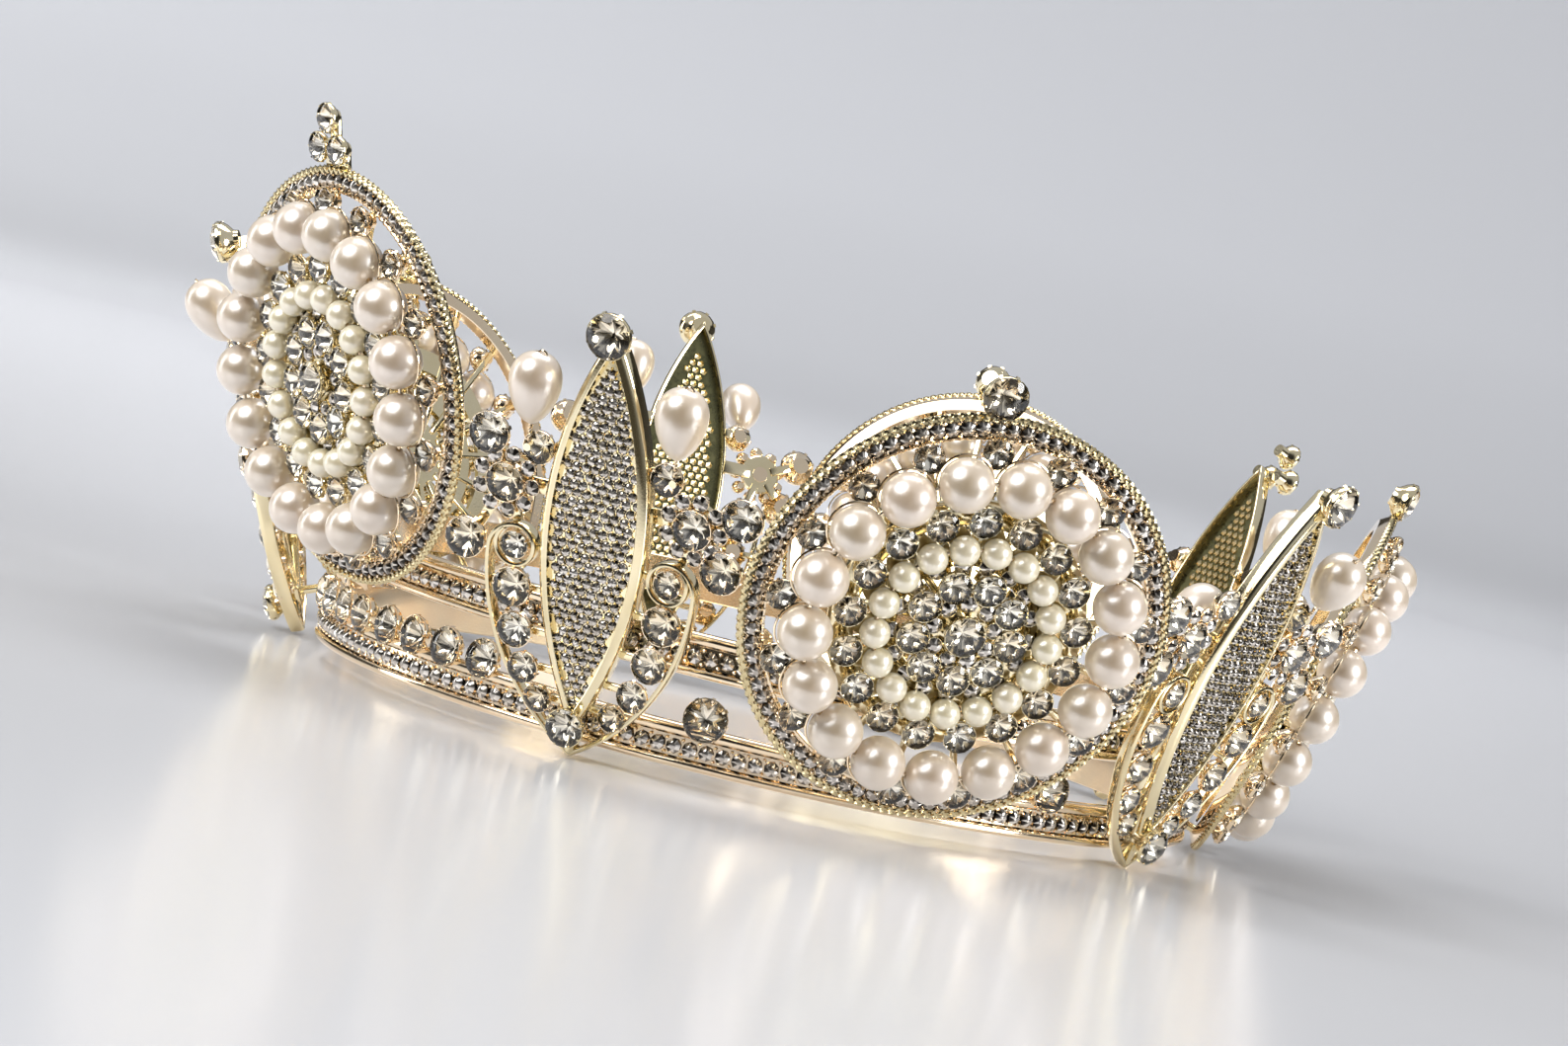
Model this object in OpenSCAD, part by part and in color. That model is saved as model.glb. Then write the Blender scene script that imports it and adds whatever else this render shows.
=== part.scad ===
// Round bridal crown: two stone-set bands carry five pearl medallions and five pointed
// ovals in turn. The front is -Y and the crown's axis is Z. It rests on the tips of the
// scrolls under the pointed ovals, at Z = 0. Sizes are in millimetres.

/* [Bands] */
// Outer radius of both bands, over their rails
band_r = 73.4; // [72:0.2:75]
// Height of each band
band_h = 6.6; // [5.6:0.2:7.4]
// Thickness of a band's plain inner wall
band_wall = 0.9; // [0.7:0.1:1.2]
// Bottom edge of the lower band
lower_z = 2.1; // [1.6:0.1:3]
// Bottom edge of the upper band
upper_z = 15.7; // [15:0.1:16.5]
// How far the rails stand out from the channel that holds the stones
rail_out = 1; // [0.6:0.1:1.4]
// Height of a band's top rail
top_rail = 2; // [1.4:0.1:2.2]
// Height of a band's bottom rail
bottom_rail = 1.5; // [1:0.1:1.8]
// Angles from the front of the stones that stand on the lower band under the front medallion
front_stones = [3.3, 9, 15, 21]; // [1:0.1:23]
// Angle from a pointed oval to the single stone beside it on the lower band
side_stone = 14; // [13:0.5:15]

/* [Medallions] */
// Outer radius of the rope edge
ring_r = 32.2; // [31.5:0.1:33]
// Radius of the rope edge's section
rope_r = 0.85; // [0.6:0.05:1.1]
// Width of the flat ring that holds a row of small stones
ring_w = 3.3; // [2.8:0.1:3.8]
// Thickness of that ring
ring_t = 2.2; // [1.6:0.1:2.6]
// Outward lean of a medallion
medallion_lean = 17.35; // [15:0.05:20]
// Number of pearls in each circle
pearl_count = 17; // [17]
// Diameter of a large pearl
pearl_d = 8; // [7.6:0.1:8.2]
// Radius of the circle of large pearls
pearl_ring_r = 23.1; // [22.8:0.1:23.6]
// Height of the large pearls' centres over the ring's middle
pearl_lift = 5.6; // [5.4:0.1:6]
// Diameter of a small pearl
small_pearl_d = 4.5; // [4:0.1:4.6]
// Radius of the circle of small pearls
small_ring_r = 12.9; // [12.7:0.1:13.1]
// Height of the small pearls' centres over the ring's middle
small_lift = 5.4; // [5.4:0.1:5.8]
// Diameter of a medallion's centre stone
centre_stone_d = 6; // [5.4:0.1:6.4]
// Diameter of the single stone on top of a medallion
finial_d = 6.6; // [6:0.1:7]
// Diameter of each stone in a cluster of three
cluster_d = 4.6; // [4:0.1:5]

/* [Pointed ovals] */
// Length of the oval from tip to tip
oval_l = 62; // [58:0.5:64]
// Width of the oval
oval_w = 16.8; // [15:0.2:18]
// Depth of the oval's side wall
oval_depth = 3; // [2.6:0.1:3.4]
// Thickness of the side wall
oval_wall = 0.8; // [0.6:0.1:1.2]
// Outward lean of a pointed oval
oval_lean = 17.2; // [15:0.1:20]
// Diameter of the stone on the oval's top tip
tip_stone_d = 6.8; // [6:0.1:7]
// Diameter of the stone on its bottom tip
foot_stone_d = 5.9; // [5:0.1:6.4]
// Diameter of a link stone
link_stone_d = 6.3; // [5.8:0.1:6.4]
// Width and length of a pear-shaped pearl
pear_size = [7.8, 10.8]; // [6:0.1:12]
// Thickness and depth of the scroll's strip
strip = [0.8, 2.6]; // [0.6:0.1:3]

/* [Hidden] */

GOLD = [0.88, 0.76, 0.56];
ROSE = [0.87, 0.68, 0.52];
PEARL = [0.96, 0.9, 0.84];
CREAM = [0.95, 0.92, 0.8];
CRYSTAL = [0.86, 0.88, 0.88];

// Smoothness of round shapes, and the sides of a cut stone
$fn = 48;
FACETS = 8;
// Clearance between pieces that meet, and the slack of a drilled hole round its thread
GAP = 0.1;
SLACK = 0.12;

// Where each medallion stands: the front one is set higher, and each is bent a little its own way.
// Swing turns it about the upright, and turn spins it in its own plane.
// azimuth, radius, height, swing, turn, lean
MEDALLIONS = [
    [0, 87.3, 46.1, 5, 0, medallion_lean],
    [72, 86, 33.9, 0, 7, medallion_lean],
    [144, 84.3, 31.3, -5, 0, medallion_lean],
    [216, 86, 33.9, 0, -5, medallion_lean],
    [288, 86, 31.3, -4.6, 0, medallion_lean + 2.15],
];
// azimuth, radius, height, lean
OVALS = [
    [36, 89.5, 32.8, oval_lean],
    [108, 89.5, 32.8, oval_lean],
    [180, 90.3, 32.8, oval_lean],
    [251.3, 89.5, 34.4, oval_lean],
    [324, 93, 31.9, oval_lean + 4],
];
FRONT = 0;
BACK_OVAL = 2;

// Medallion: plate, spokes and cups, as [radius, height] over the ring's middle
pitch = 360 / pearl_count;
ring_inner = ring_r - rope_r - ring_w;
plate_r = 19.6;
plate_base = 0.6;
plate_rim = 1.6;
plate_top = 2.9;
spoke = [1.1, 0.6];
spoke_base = 0.8;
cup_foot = 1.1;
gap_cup = [27, 2.7];
inner_cup = [17, 4.1];
nine_cup = [7.4, 4.9];
nine_count = 9;
wire_r = 0.3;
small_wire_r = 0.25;
centre_lift = 7;
stay_r = 0.7;
// Stones on top of the front medallion: across, up, out
CREST = [-1.5, ring_r + 2.5, 2];
// across, up: where the stays to the bands leave a low medallion and the front one
LOW_STAYS = [[-12, -15.5], [12, -15.5], [0, -29.3]];
FRONT_STAYS = [[-9, -28], [9, -28]];

// Pointed oval: heights over the plane through the centres of its two tip stones
oval_back = -5.3;
plate_front = oval_back + oval_depth - 0.6;
plate_t = 0.8;
oval_shift = -0.3;
tip_v = 30.2;
foot_v = -29.8;
OVAL_STAYS = [[0, -17], [0, -28.5]];
// Scroll: small loop round a stone, shoulder arc and long arc down to the point
loop_at = [12.4, -5.1];
loop_r = 3;
shoulder_r = 4.2;
shoulder_at = [12.3, -6.2];
shoulder_side = shoulder_at[0] + shoulder_r;
scroll_tip = -35.4;
scroll_mid = -3.9;
long_drop = shoulder_at[1] - scroll_tip - 0.6;
long_r = (shoulder_side * shoulder_side + long_drop * long_drop) / (2 * shoulder_side);
// across, up, stone diameter
SCROLL_CUPS = [[12.4, -5.1, 4.3], [12.1, -11.5, 6], [10.9, -18, 5.5], [8.9, -23.4, 4.8],
               [6.1, -27.6, 4.4]];
// Link stones between the oval and a low medallion, and between it and the front one
LINKS_LOW = [[22.5, 7.3], [20.1, -1.3]];
LINKS_FRONT = [[18.3, 10.8], [20.4, -5.9]];
flower_at = [15, 4];
flower_r = 4.9;
under_pear_at = [10.2, 10.4];
link_lift = -3;
stem_lift = link_lift + 0.4;
// Wire stems of the pear-shaped pearls, left and right on each oval. Most stand upright, and
// a few are bent.
// foot across, foot up, foot out, lean outwards, lean forwards
STEM = [11.6, 10.4, stem_lift, 0, 0];
STEMS = [
    [STEM, STEM],
    [[12.74, -0.89, -9.95, -45, 0], [11.6, 10.4, stem_lift, -20, 20]],
    [STEM, [11.6, 10.4, stem_lift, 0, 65]],
    [[11.6, 10.4, stem_lift, 0, 35], STEM],
    [STEM, [11.6, 10.4, stem_lift, 0, 20]],
];
stem_l = 9;
web_base = -5.9;
web_t = 0.9;
scroll_web = [-5.4, 1.1];
cup_base = -5.7;

// Puts a flat element on the crown: x runs across it, y up it and z out of its face
module stand(azimuth, radius, height, lean, swing = 0, turn = 0) {
    rotate([0, 0, azimuth]) translate([0, -radius, height])
        rotate([0, 0, swing]) rotate([90 + lean, 0, 0]) rotate([0, 0, turn]) children();
}

module on_medallion(i) {
    m = MEDALLIONS[i];
    stand(m[0], m[1], m[2], m[5], m[3], m[4]) children();
}

module on_oval(i) {
    stand(OVALS[i][0], OVALS[i][1], OVALS[i][2], OVALS[i][3]) children();
}

// A round brilliant with its girdle at z = 0: table, crown, girdle and shallow pavilion
module cut_stone(d) {
    rotate_extrude($fn = FACETS)
        polygon([[0, -0.3 * d], [d / 2, -0.05 * d], [d / 2, 0.03 * d], [0.3 * d, 0.16 * d],
                 [0, 0.16 * d]]);
}

// Solid cup on a foot, from base up to the girdle of a stone that it carries
module solid_cup(d, base, top) {
    translate([0, 0, base]) cylinder(h = top - base, r1 = d * 0.24, r2 = d * 0.46);
}

// Cup with a bowl in it, clear of a cut stone that is a piece of its own
module open_cup(d, base, girdle) {
    bowl = d / 2 + 1.5 * GAP;
    rim = bowl + 0.3;
    seat = girdle - 0.05 * d - 1.2 * GAP;
    difference() {
        union() {
            translate([0, 0, base]) cylinder(h = seat - base - 0.1, r1 = d * 0.26, r2 = rim);
            translate([0, 0, seat - 0.1]) cylinder(h = girdle - seat + 0.1, r = rim);
        }
        translate([0, 0, girdle - 0.3 * d - GAP]) cylinder(h = 0.25 * d, r1 = 0.3, r2 = bowl);
        translate([0, 0, seat]) cylinder(h = d, r = bowl);
    }
}

module band(bottom) {
    inner = band_r - rail_out - band_wall;
    channel = band_r - rail_out;
    top = bottom + band_h;
    rotate_extrude()
        polygon([[inner, bottom], [band_r, bottom], [band_r, bottom + bottom_rail],
                 [channel, bottom + bottom_rail], [channel, top - top_rail],
                 [band_r, top - top_rail], [band_r, top], [inner, top]]);
}

// Cup of a stone that stands on the lower band, facing outwards
module band_cup(angle) {
    cup_z = lower_z + band_h + 1.3;
    rotate([0, 0, angle]) translate([0, -band_r + 1.2, cup_z]) rotate([90, 0, 0])
        cylinder(h = 1.6, r1 = 1.6, r2 = 2.6);
}

module lower_band() {
    color(ROSE) {
        band(lower_z);
        for (a = front_stones, side = [-1, 1]) band_cup(side * a);
        for (o = OVALS, side = [-1, 1])
            if (abs(o[0] + side * side_stone - 180) < 140) band_cup(o[0] + side * side_stone);
    }
}

module upper_band() {
    color(ROSE) band(upper_z);
}

module medallion_ring() {
    half = ring_t / 2;
    groove = 0.5;
    lip = 0.7;
    outer = ring_r - rope_r;
    rotate_extrude()
        polygon([[ring_inner, -half], [outer, -half], [outer, half], [outer - lip, half],
                 [outer - lip, half - groove], [ring_inner + lip, half - groove],
                 [ring_inner + lip, half], [ring_inner, half]]);
    rotate_extrude() translate([outer, 0]) circle(r = rope_r);
}

module medallion_plate() {
    rotate_extrude()
        polygon([[0, plate_base], [plate_r, plate_base], [plate_r, plate_rim],
                 [small_ring_r + 2, plate_top], [0, plate_top]]);
}

// Spoke from the plate to the ring, under the gap between two pearls, with a cup at its end
module gap_spoke(angle) {
    rotate([0, 0, -angle]) {
        translate([-spoke[0] / 2, plate_r - 0.6, spoke_base])
            cube([spoke[0], ring_inner - plate_r + 1, spoke[1]]);
        translate([0, gap_cup[0], 0]) solid_cup(4.2, spoke_base + 0.15, gap_cup[1]);
    }
}

// Backward stays, cut off just clear of the bands that they meet
module stays(list, from) {
    for (p = list) translate([p[0], p[1], from - 14]) cylinder(h = 14, r = stay_r, $fn = 24);
}

module finial_cups(i) {
    if (i == FRONT) {
        for (p = cluster_places(CREST)) translate([p[0], p[1], 0])
            open_cup(cluster_d, -1.1, CREST[2]);
        translate([0, 0, -0.7]) linear_extrude(1.2)
            bar([CREST[0] - 2.9, CREST[1] - 1.9], [CREST[0] + 2.9, CREST[1] - 1.9], 2.8);
    } else {
        translate([0, ring_r + finial_d * 0.36, 0]) open_cup(finial_d, -1.2, 1.6);
    }
}

// Three stones of a cluster, one above two whose middle is at [across, up]
function cluster_places(at) =
    let (half = cluster_d / 2 + 0.36)
    [[at[0] - half, at[1]], [at[0] + half, at[1]], [at[0], at[1] + 1.73 * half]];

module medallion_frame(i) {
    color(GOLD) difference() {
        on_medallion(i) {
            medallion_ring();
            medallion_plate();
            for (k = [0 : pearl_count - 1]) {
                gap_spoke(k * pitch);
                rotate([0, 0, -k * pitch]) translate([0, inner_cup[0], 0])
                    solid_cup(4.6, cup_foot, inner_cup[1]);
            }
            for (k = [0 : nine_count - 1]) rotate([0, 0, 180 - k * 360 / nine_count])
                translate([0, nine_cup[0], 0]) solid_cup(4.8, cup_foot, nine_cup[1]);
            open_cup(centre_stone_d, cup_foot, centre_lift);
            finial_cups(i);
            stays(i == FRONT ? FRONT_STAYS : LOW_STAYS, plate_base + 0.2);
        }
        cylinder(h = 80, r = band_r + GAP, $fn = 96);
    }
}

// Circle of pearls, each drilled along the thread
module pearl_circle(d, ring, lift, bore) {
    for (k = [0 : pearl_count - 1]) rotate([0, 0, -(k + 0.5) * pitch]) translate([0, ring, lift])
        rotate([0, 90, 0]) rotate_extrude() intersection() {
            circle(d = d, $fn = 72);
            translate([bore, -d]) square([d, 2 * d]);
        }
}

// Half the depth of the thread's bow inside a pearl, which its hole has to clear
function bow(d, ring) = d * d / (16 * ring);

module pearl_ring(i) {
    color(PEARL) on_medallion(i)
        pearl_circle(pearl_d, pearl_ring_r, pearl_lift, wire_r + bow(pearl_d, pearl_ring_r) + SLACK);
}

module small_pearl_ring(i) {
    color(CREAM) on_medallion(i)
        pearl_circle(small_pearl_d, small_ring_r, small_lift,
                     small_wire_r + bow(small_pearl_d, small_ring_r) + SLACK);
}

module thread(ring, lift, r) {
    translate([0, 0, lift]) rotate_extrude($fn = 72) translate([ring, 0]) circle(r = r, $fn = 24);
}

module pearl_wire(i) {
    color(ROSE) on_medallion(i)
        thread(pearl_ring_r + bow(pearl_d, pearl_ring_r), pearl_lift, wire_r);
}

module small_pearl_wire(i) {
    color(ROSE) on_medallion(i)
        thread(small_ring_r + bow(small_pearl_d, small_ring_r), small_lift, small_wire_r);
}

module centre_stone(i) {
    color(CRYSTAL) on_medallion(i) translate([0, 0, centre_lift]) cut_stone(centre_stone_d);
}

module finial(i) {
    color(CRYSTAL) on_medallion(i) {
        if (i == FRONT) {
            for (p = cluster_places(CREST)) translate([p[0], p[1], CREST[2]]) cut_stone(cluster_d);
        } else {
            translate([0, ring_r + finial_d * 0.36, 1.6]) cut_stone(finial_d);
        }
    }
}

// The pointed oval's outline, two arcs that meet at its tips
module pointed_oval(l, w) {
    r = (l * l + w * w) / (4 * w);
    intersection() {
        translate([r - w / 2, 0]) circle(r = r, $fn = 96);
        translate([w / 2 - r, 0]) circle(r = r, $fn = 96);
    }
}

// Dish with a plate near its front, open at the back
module oval_shell() {
    inner_l = oval_l - 6 * oval_wall;
    inner_w = oval_w - 2 * oval_wall;
    translate([0, oval_shift, 0]) {
        translate([0, 0, oval_back]) linear_extrude(oval_depth) difference() {
            pointed_oval(oval_l, oval_w);
            pointed_oval(inner_l, inner_w);
        }
        translate([0, 0, plate_front - plate_t]) linear_extrude(plate_t)
            pointed_oval(inner_l + 1, inner_w + 0.4);
    }
}

function arc(at, r, from, to, steps) =
    [for (k = [0 : steps]) let (a = from + (to - from) * k / steps) at + r * [cos(a), sin(a)]];

// Line along the scroll's strip from its point to its shoulder, moved out by an offset
function scroll_line(offset) =
    concat(arc([shoulder_side - long_r, shoulder_at[1]], long_r + offset,
               -asin(long_drop / long_r), 0, 14),
           arc(shoulder_at, shoulder_r + offset, 9, 94, 10));

// Right half of the scroll, seen from the front
module half_scroll() {
    inner = scroll_line(-strip[0] / 2);
    last = len(inner) - 1;
    polygon(concat(scroll_line(strip[0] / 2), [for (k = [0 : last]) inner[last - k]]));
    translate(loop_at) difference() {
        circle(r = loop_r + strip[0] / 2);
        circle(r = loop_r - strip[0] / 2);
    }
}

module scroll() {
    translate([0, 0, scroll_mid - strip[1] / 2]) linear_extrude(strip[1]) {
        half_scroll();
        mirror([1, 0]) half_scroll();
        bar([0, foot_v + 1], [0, scroll_tip + 1], 1.6);
    }
}

module bar(a, b, w) {
    d = b - a;
    translate(a) rotate(atan2(d[1], d[0])) translate([0, -w / 2]) square([norm(d), w]);
}

function mirrored(p, side) = [side * p[0], p[1]];

// Link places on one side: the front medallion stands higher, so its links differ
function links(i, side) = (i == 0 && side < 0) || (i == 4 && side > 0) ? LINKS_FRONT : LINKS_LOW;

// Puts a part on the stem at one side of an oval, with z along the stem from its foot
module on_stem(i, side) {
    s = STEMS[i][(side + 1) / 2];
    translate([side * s[0], s[1], s[2]]) rotate([s[4] - 90, 0, -side * s[3]]) children();
}

// Stem that carries a pear-shaped pearl, on a post from the bars behind the stones
module pear_stem(i, side) {
    s = STEMS[i][(side + 1) / 2];
    root = cup_base + 0.4;
    translate([side * s[0], s[1], min(root, s[2] - 0.5)])
        cylinder(h = abs(s[2] - root) + 0.5, r = 0.6, $fn = 24);
    on_stem(i, side) cylinder(h = stem_l + pear_size[1] / 2 + 0.5, r = wire_r, $fn = 24);
}

// Flat bars behind the stones, which tie them to the oval's side wall
module web(i) {
    translate([0, 0, scroll_web[0]]) linear_extrude(scroll_web[1]) {
        for (c = SCROLL_CUPS) bar([-c[0], c[1]], [c[0], c[1]], 1.1);
        bar([-16.2, SCROLL_CUPS[1][1]], [16.2, SCROLL_CUPS[1][1]], 1.1);
    }
    translate([0, 0, web_base]) linear_extrude(web_t) {
        bar([-flower_at[0], flower_at[1]], [flower_at[0], flower_at[1]], 2.4);
        bar([-under_pear_at[0], under_pear_at[1]], under_pear_at, 1.6);
        for (side = [-1, 1]) {
            bar(mirrored(flower_at, side), mirrored(loop_at, side), 1.4);
            for (p = links(i, side)) bar(mirrored(flower_at, side), mirrored(p, side), 1.6);
        }
    }
}

module oval_side(i, side) {
    for (c = SCROLL_CUPS) translate([side * c[0], c[1], 0]) solid_cup(c[2], cup_base, link_lift);
    translate([side * flower_at[0], flower_at[1], cup_base]) cylinder(h = 1.2, r = flower_r);
    translate([side * flower_at[0], flower_at[1], 0]) solid_cup(6, cup_base + 0.5, link_lift);
    translate([side * under_pear_at[0], under_pear_at[1], 0])
        solid_cup(5, cup_base, link_lift - 0.2);
    for (p = links(i, side)) translate([side * p[0], p[1], 0])
        open_cup(link_stone_d, cup_base, link_lift);
    pear_stem(i, side);
}

module tip_cups(i) {
    tip_base = plate_front - plate_t + 0.15;
    if (i == BACK_OVAL) {
        for (p = cluster_places([0, tip_v])) translate([p[0], p[1], 0])
            open_cup(cluster_d, tip_base, 0);
        translate([0, 0, tip_base + 0.2]) linear_extrude(1)
            bar([-3, tip_v - 1.5], [3, tip_v - 1.5], 3.2);
    } else {
        translate([0, tip_v, 0]) open_cup(tip_stone_d, tip_base, 0);
    }
    translate([0, foot_v, 0]) open_cup(foot_stone_d, tip_base, 0);
}

module oval_frame(i) {
    color(GOLD) difference() {
        on_oval(i) {
            oval_shell();
            scroll();
            web(i);
            for (side = [-1, 1]) oval_side(i, side);
            tip_cups(i);
            stays(OVAL_STAYS, plate_front - plate_t / 2);
        }
        cylinder(h = 80, r = band_r + GAP, $fn = 96);
        for (side = [0, 1]) ring_room((i + side) % 5);
    }
}

// Room for a medallion's ring beside an oval frame
module ring_room(i) {
    on_medallion(i) rotate_extrude() translate([ring_inner - GAP, -ring_t / 2 - GAP])
        square([ring_r - ring_inner + 2 * GAP, ring_t + 2 * GAP]);
}

module oval_stones(i) {
    color(CRYSTAL) on_oval(i) {
        if (i == BACK_OVAL)
            for (p = cluster_places([0, tip_v])) translate([p[0], p[1], 0]) cut_stone(cluster_d);
        else
            translate([0, tip_v, 0]) cut_stone(tip_stone_d);
        translate([0, foot_v, 0]) cut_stone(foot_stone_d);
    }
}

module link_stones(i) {
    color(CRYSTAL) on_oval(i) for (side = [-1, 1], p = links(i, side))
        translate([side * p[0], p[1], link_lift]) cut_stone(link_stone_d);
}

// Pear-shaped pearl, blunt end up, drilled for its stem: a ball, a cone and a small ball
module pear_pearl() {
    big = pear_size[0] / 2;
    small = big * 0.42;
    drop = pear_size[1] - big - small;
    slope = asin((big - small) / drop);
    difference() {
        rotate_extrude() intersection() {
            union() {
                circle(r = big, $fn = 72);
                translate([0, -drop]) circle(r = small, $fn = 48);
                polygon([[0, 0], [big * cos(slope), -big * sin(slope)],
                         [small * cos(slope), -drop - small * sin(slope)], [0, -drop]]);
            }
            translate([0, -20]) square([20, 40]);
        }
        cylinder(h = 40, r = wire_r + SLACK, center = true, $fn = 24);
    }
}

module pear_pearls(i) {
    color(PEARL) on_oval(i) for (side = [-1, 1]) on_stem(i, side)
        translate([0, 0, stem_l + pear_size[1] / 2 - pear_size[0] / 2]) pear_pearl();
}

lower_band();
upper_band();
for (i = [0 : 4]) {
    n = str(i + 1);
    medallion_frame(i);
    pearl_ring(i);
    pearl_wire(i);
    small_pearl_ring(i);
    small_pearl_wire(i);
    centre_stone(i);
    finial(i);
    oval_frame(i);
    oval_stones(i);
    link_stones(i);
    pear_pearls(i);
}
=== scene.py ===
"""Round bridal crown: the finished metalwork, stones and pearls, built round the crown's solids."""

import functools
import random
from math import acos, asin, atan2, copysign, cos, degrees, hypot, pi, radians, sin, sqrt

import bmesh
import bpy
import numpy as np
from mathutils import Matrix, Vector


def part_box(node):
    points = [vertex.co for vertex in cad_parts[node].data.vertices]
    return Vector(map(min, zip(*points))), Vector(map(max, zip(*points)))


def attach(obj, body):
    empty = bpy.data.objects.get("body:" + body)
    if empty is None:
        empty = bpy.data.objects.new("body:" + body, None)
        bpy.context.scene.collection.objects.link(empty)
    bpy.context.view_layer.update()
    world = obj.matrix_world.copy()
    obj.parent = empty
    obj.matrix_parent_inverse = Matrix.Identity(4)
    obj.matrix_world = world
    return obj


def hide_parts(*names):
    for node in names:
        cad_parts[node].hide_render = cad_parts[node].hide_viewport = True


bl_info = {
    "name": "Round bridal crown",
    "version": (1, 0, 0),
    "blender": (4, 5, 0),
    "location": "3D View > Sidebar > Crown",
    "description": "Builds the metalwork, stones and pearls of a round bridal crown on its solids",
    "category": "Add Mesh",
}

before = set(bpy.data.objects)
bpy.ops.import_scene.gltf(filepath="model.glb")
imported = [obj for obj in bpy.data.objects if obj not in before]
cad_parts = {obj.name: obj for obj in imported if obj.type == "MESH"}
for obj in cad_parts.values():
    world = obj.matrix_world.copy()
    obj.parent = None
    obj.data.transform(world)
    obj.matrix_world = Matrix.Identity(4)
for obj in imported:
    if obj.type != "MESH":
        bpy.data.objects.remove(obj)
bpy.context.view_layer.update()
BAND_LOW, BAND_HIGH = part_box("upper_band")

MM = 0.001
ROOT = "root"
# Finishes by number, as the faces of a shape carry them; the ovals' dark back sheet and the darker rope gold
# are painted shade
GOLD, ROSE, SHADED_GOLD, PAINTED_SHADE, CRYSTAL, FOIL, SMALL, PEARL, CREAM = range(9)
FINISHES = (
    "plated_gold", "plated_rose_gold", "shaded_gold", "painted_shade_sheet", "cut_crystal", "stone_foil",
    "small_stone", "champagne_pearl", "ivory_pearl",
)

# azimuth, radius, height, swing, turn and lean, in degrees and millimetres; the first is at the front
MEDALLIONS = (
    (0, 87.3, 46.1, 5, 0, 17.35),
    (72, 86, 33.9, 0, 7, 17.35),
    (144, 84.3, 31.3, -5, 0, 17.35),
    (216, 86, 33.9, 0, -5, 17.35),
    (288, 86, 31.3, -4.6, 0, 19.5),
)
OVALS = (
    (36, 89.5, 32.8, 0, 0, 17.2),
    (108, 89.5, 32.8, 0, 0, 17.2),
    (180, 90.3, 32.8, 0, 0, 17.2),
    (251.3, 89.5, 34.4, 0, 0, 17.2),
    (324, 93, 31.9, 0, 0, 21.2),
)
ELEMENTS, FRONT, BACK_OVAL = 5, 0, 2
# Middle of the lower two stones on top of the front medallion: across, up, out
CREST = (-1.5, 34.7, 2)
# Stem of a pear-shaped pearl: foot across, up and out, then its lean outwards and forwards
STEM = (11.6, 10.4, -2.6, 0, 0)
STEMS = (
    (STEM, STEM),
    ((12.74, -0.89, -9.95, -45, 0), (11.6, 10.4, -2.6, -20, 20)),
    (STEM, (11.6, 10.4, -2.6, 0, 65)),
    ((11.6, 10.4, -2.6, 0, 35), STEM),
    (STEM, (11.6, 10.4, -2.6, 0, 20)),
)
STEM_LENGTH = 9
# Depth of most cups, in millimetres
BOWL = 2.4
# Pearls in each circle of a medallion
PEARLS = 17
PITCH = 360 / PEARLS


# Sizes and colours


def length(name, text, value):
    return bpy.props.FloatProperty(name=name, description=text, default=value, unit="LENGTH", precision=5)


def colour(name, text, value):
    return bpy.props.FloatVectorProperty(
        name=name, description=text, default=value, size=3, min=0, max=1, subtype="COLOR"
    )


class CrownBandSizes(bpy.types.PropertyGroup):
    radius: length("Outer radius", "Outer radius of both bands, over their rails", BAND_HIGH.x)
    height: length("Height", "Height of each band", BAND_HIGH.z - BAND_LOW.z)
    upper: length("Upper band", "Bottom edge of the upper band", BAND_LOW.z)
    lower: length("Lower band", "Bottom edge of the lower band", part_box("lower_band")[0].z)
    stone: length("Row stone", "Width of a stone in a band's row", 0.0023)
    stones: bpy.props.IntProperty(name="Row stones", description="Stones in a band's row", default=184)


class CrownMedallionSizes(bpy.types.PropertyGroup):
    ring: length("Ring radius", "Outer radius of the rope edge", 0.0322)
    pearl: length("Large pearl", "Width of a large pearl", 0.008)
    seed: length("Small pearl", "Width of a small pearl", 0.0045)
    pearl_circle: length("Pearl circle", "Radius of the circle of large pearls", 0.0231)
    seed_circle: length("Small pearl circle", "Radius of the circle of small pearls", 0.0129)
    pearl_lift: length("Large pearl lift", "Height of the large pearls over the ring", 0.0056)
    seed_lift: length("Small pearl lift", "Height of the small pearls over the ring", 0.0054)
    heart: length("Centre stone", "Width of the centre stone", 0.006)
    crest: length("Top stone", "Width of the single stone on top", 0.0066)
    crest_small: length("Cluster stone", "Width of each of three stones on top", 0.0046)


class CrownOvalSizes(bpy.types.PropertyGroup):
    length: length("Length", "Length of a pointed oval", 0.062)
    width: length("Width", "Width of a pointed oval", 0.0168)
    pave: length("Pave stone", "Width of a stone in the pave field", 0.00146)
    tip: length("Tip stone", "Width of the stone on the top tip", 0.0068)
    foot: length("Foot stone", "Width of the stone on the bottom tip", 0.0059)
    link: length("Link stone", "Width of a stone between an oval and a medallion", 0.0063)
    drop_width: length("Pear width", "Width of a pear-shaped pearl", 0.0078)
    drop_length: length("Pear length", "Length of a pear-shaped pearl", 0.0108)


class CrownColours(bpy.types.PropertyGroup):
    gold: colour("Gold", "Pale champagne gold plating", (0.83, 0.71, 0.44))
    rose: colour("Rose gold", "Gold plating with a rosy tint", (0.89, 0.71, 0.5))
    pearl: colour("Pearl", "Body colour of the large pearls", (0.46, 0.34, 0.195))
    cream: colour("Cream pearl", "Body colour of the small pearls", (0.7, 0.6, 0.35))
    floor: colour("Floor", "Colour of the pale floor", (0.65, 0.655, 0.68))


def mm(value):
    return value / MM


# Placing


def turned(angle, axis="Z"):
    return Matrix.Rotation(radians(angle), 4, axis)


def at(x, y, z=0.0):
    return Matrix.Translation((x, y, z))


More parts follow.
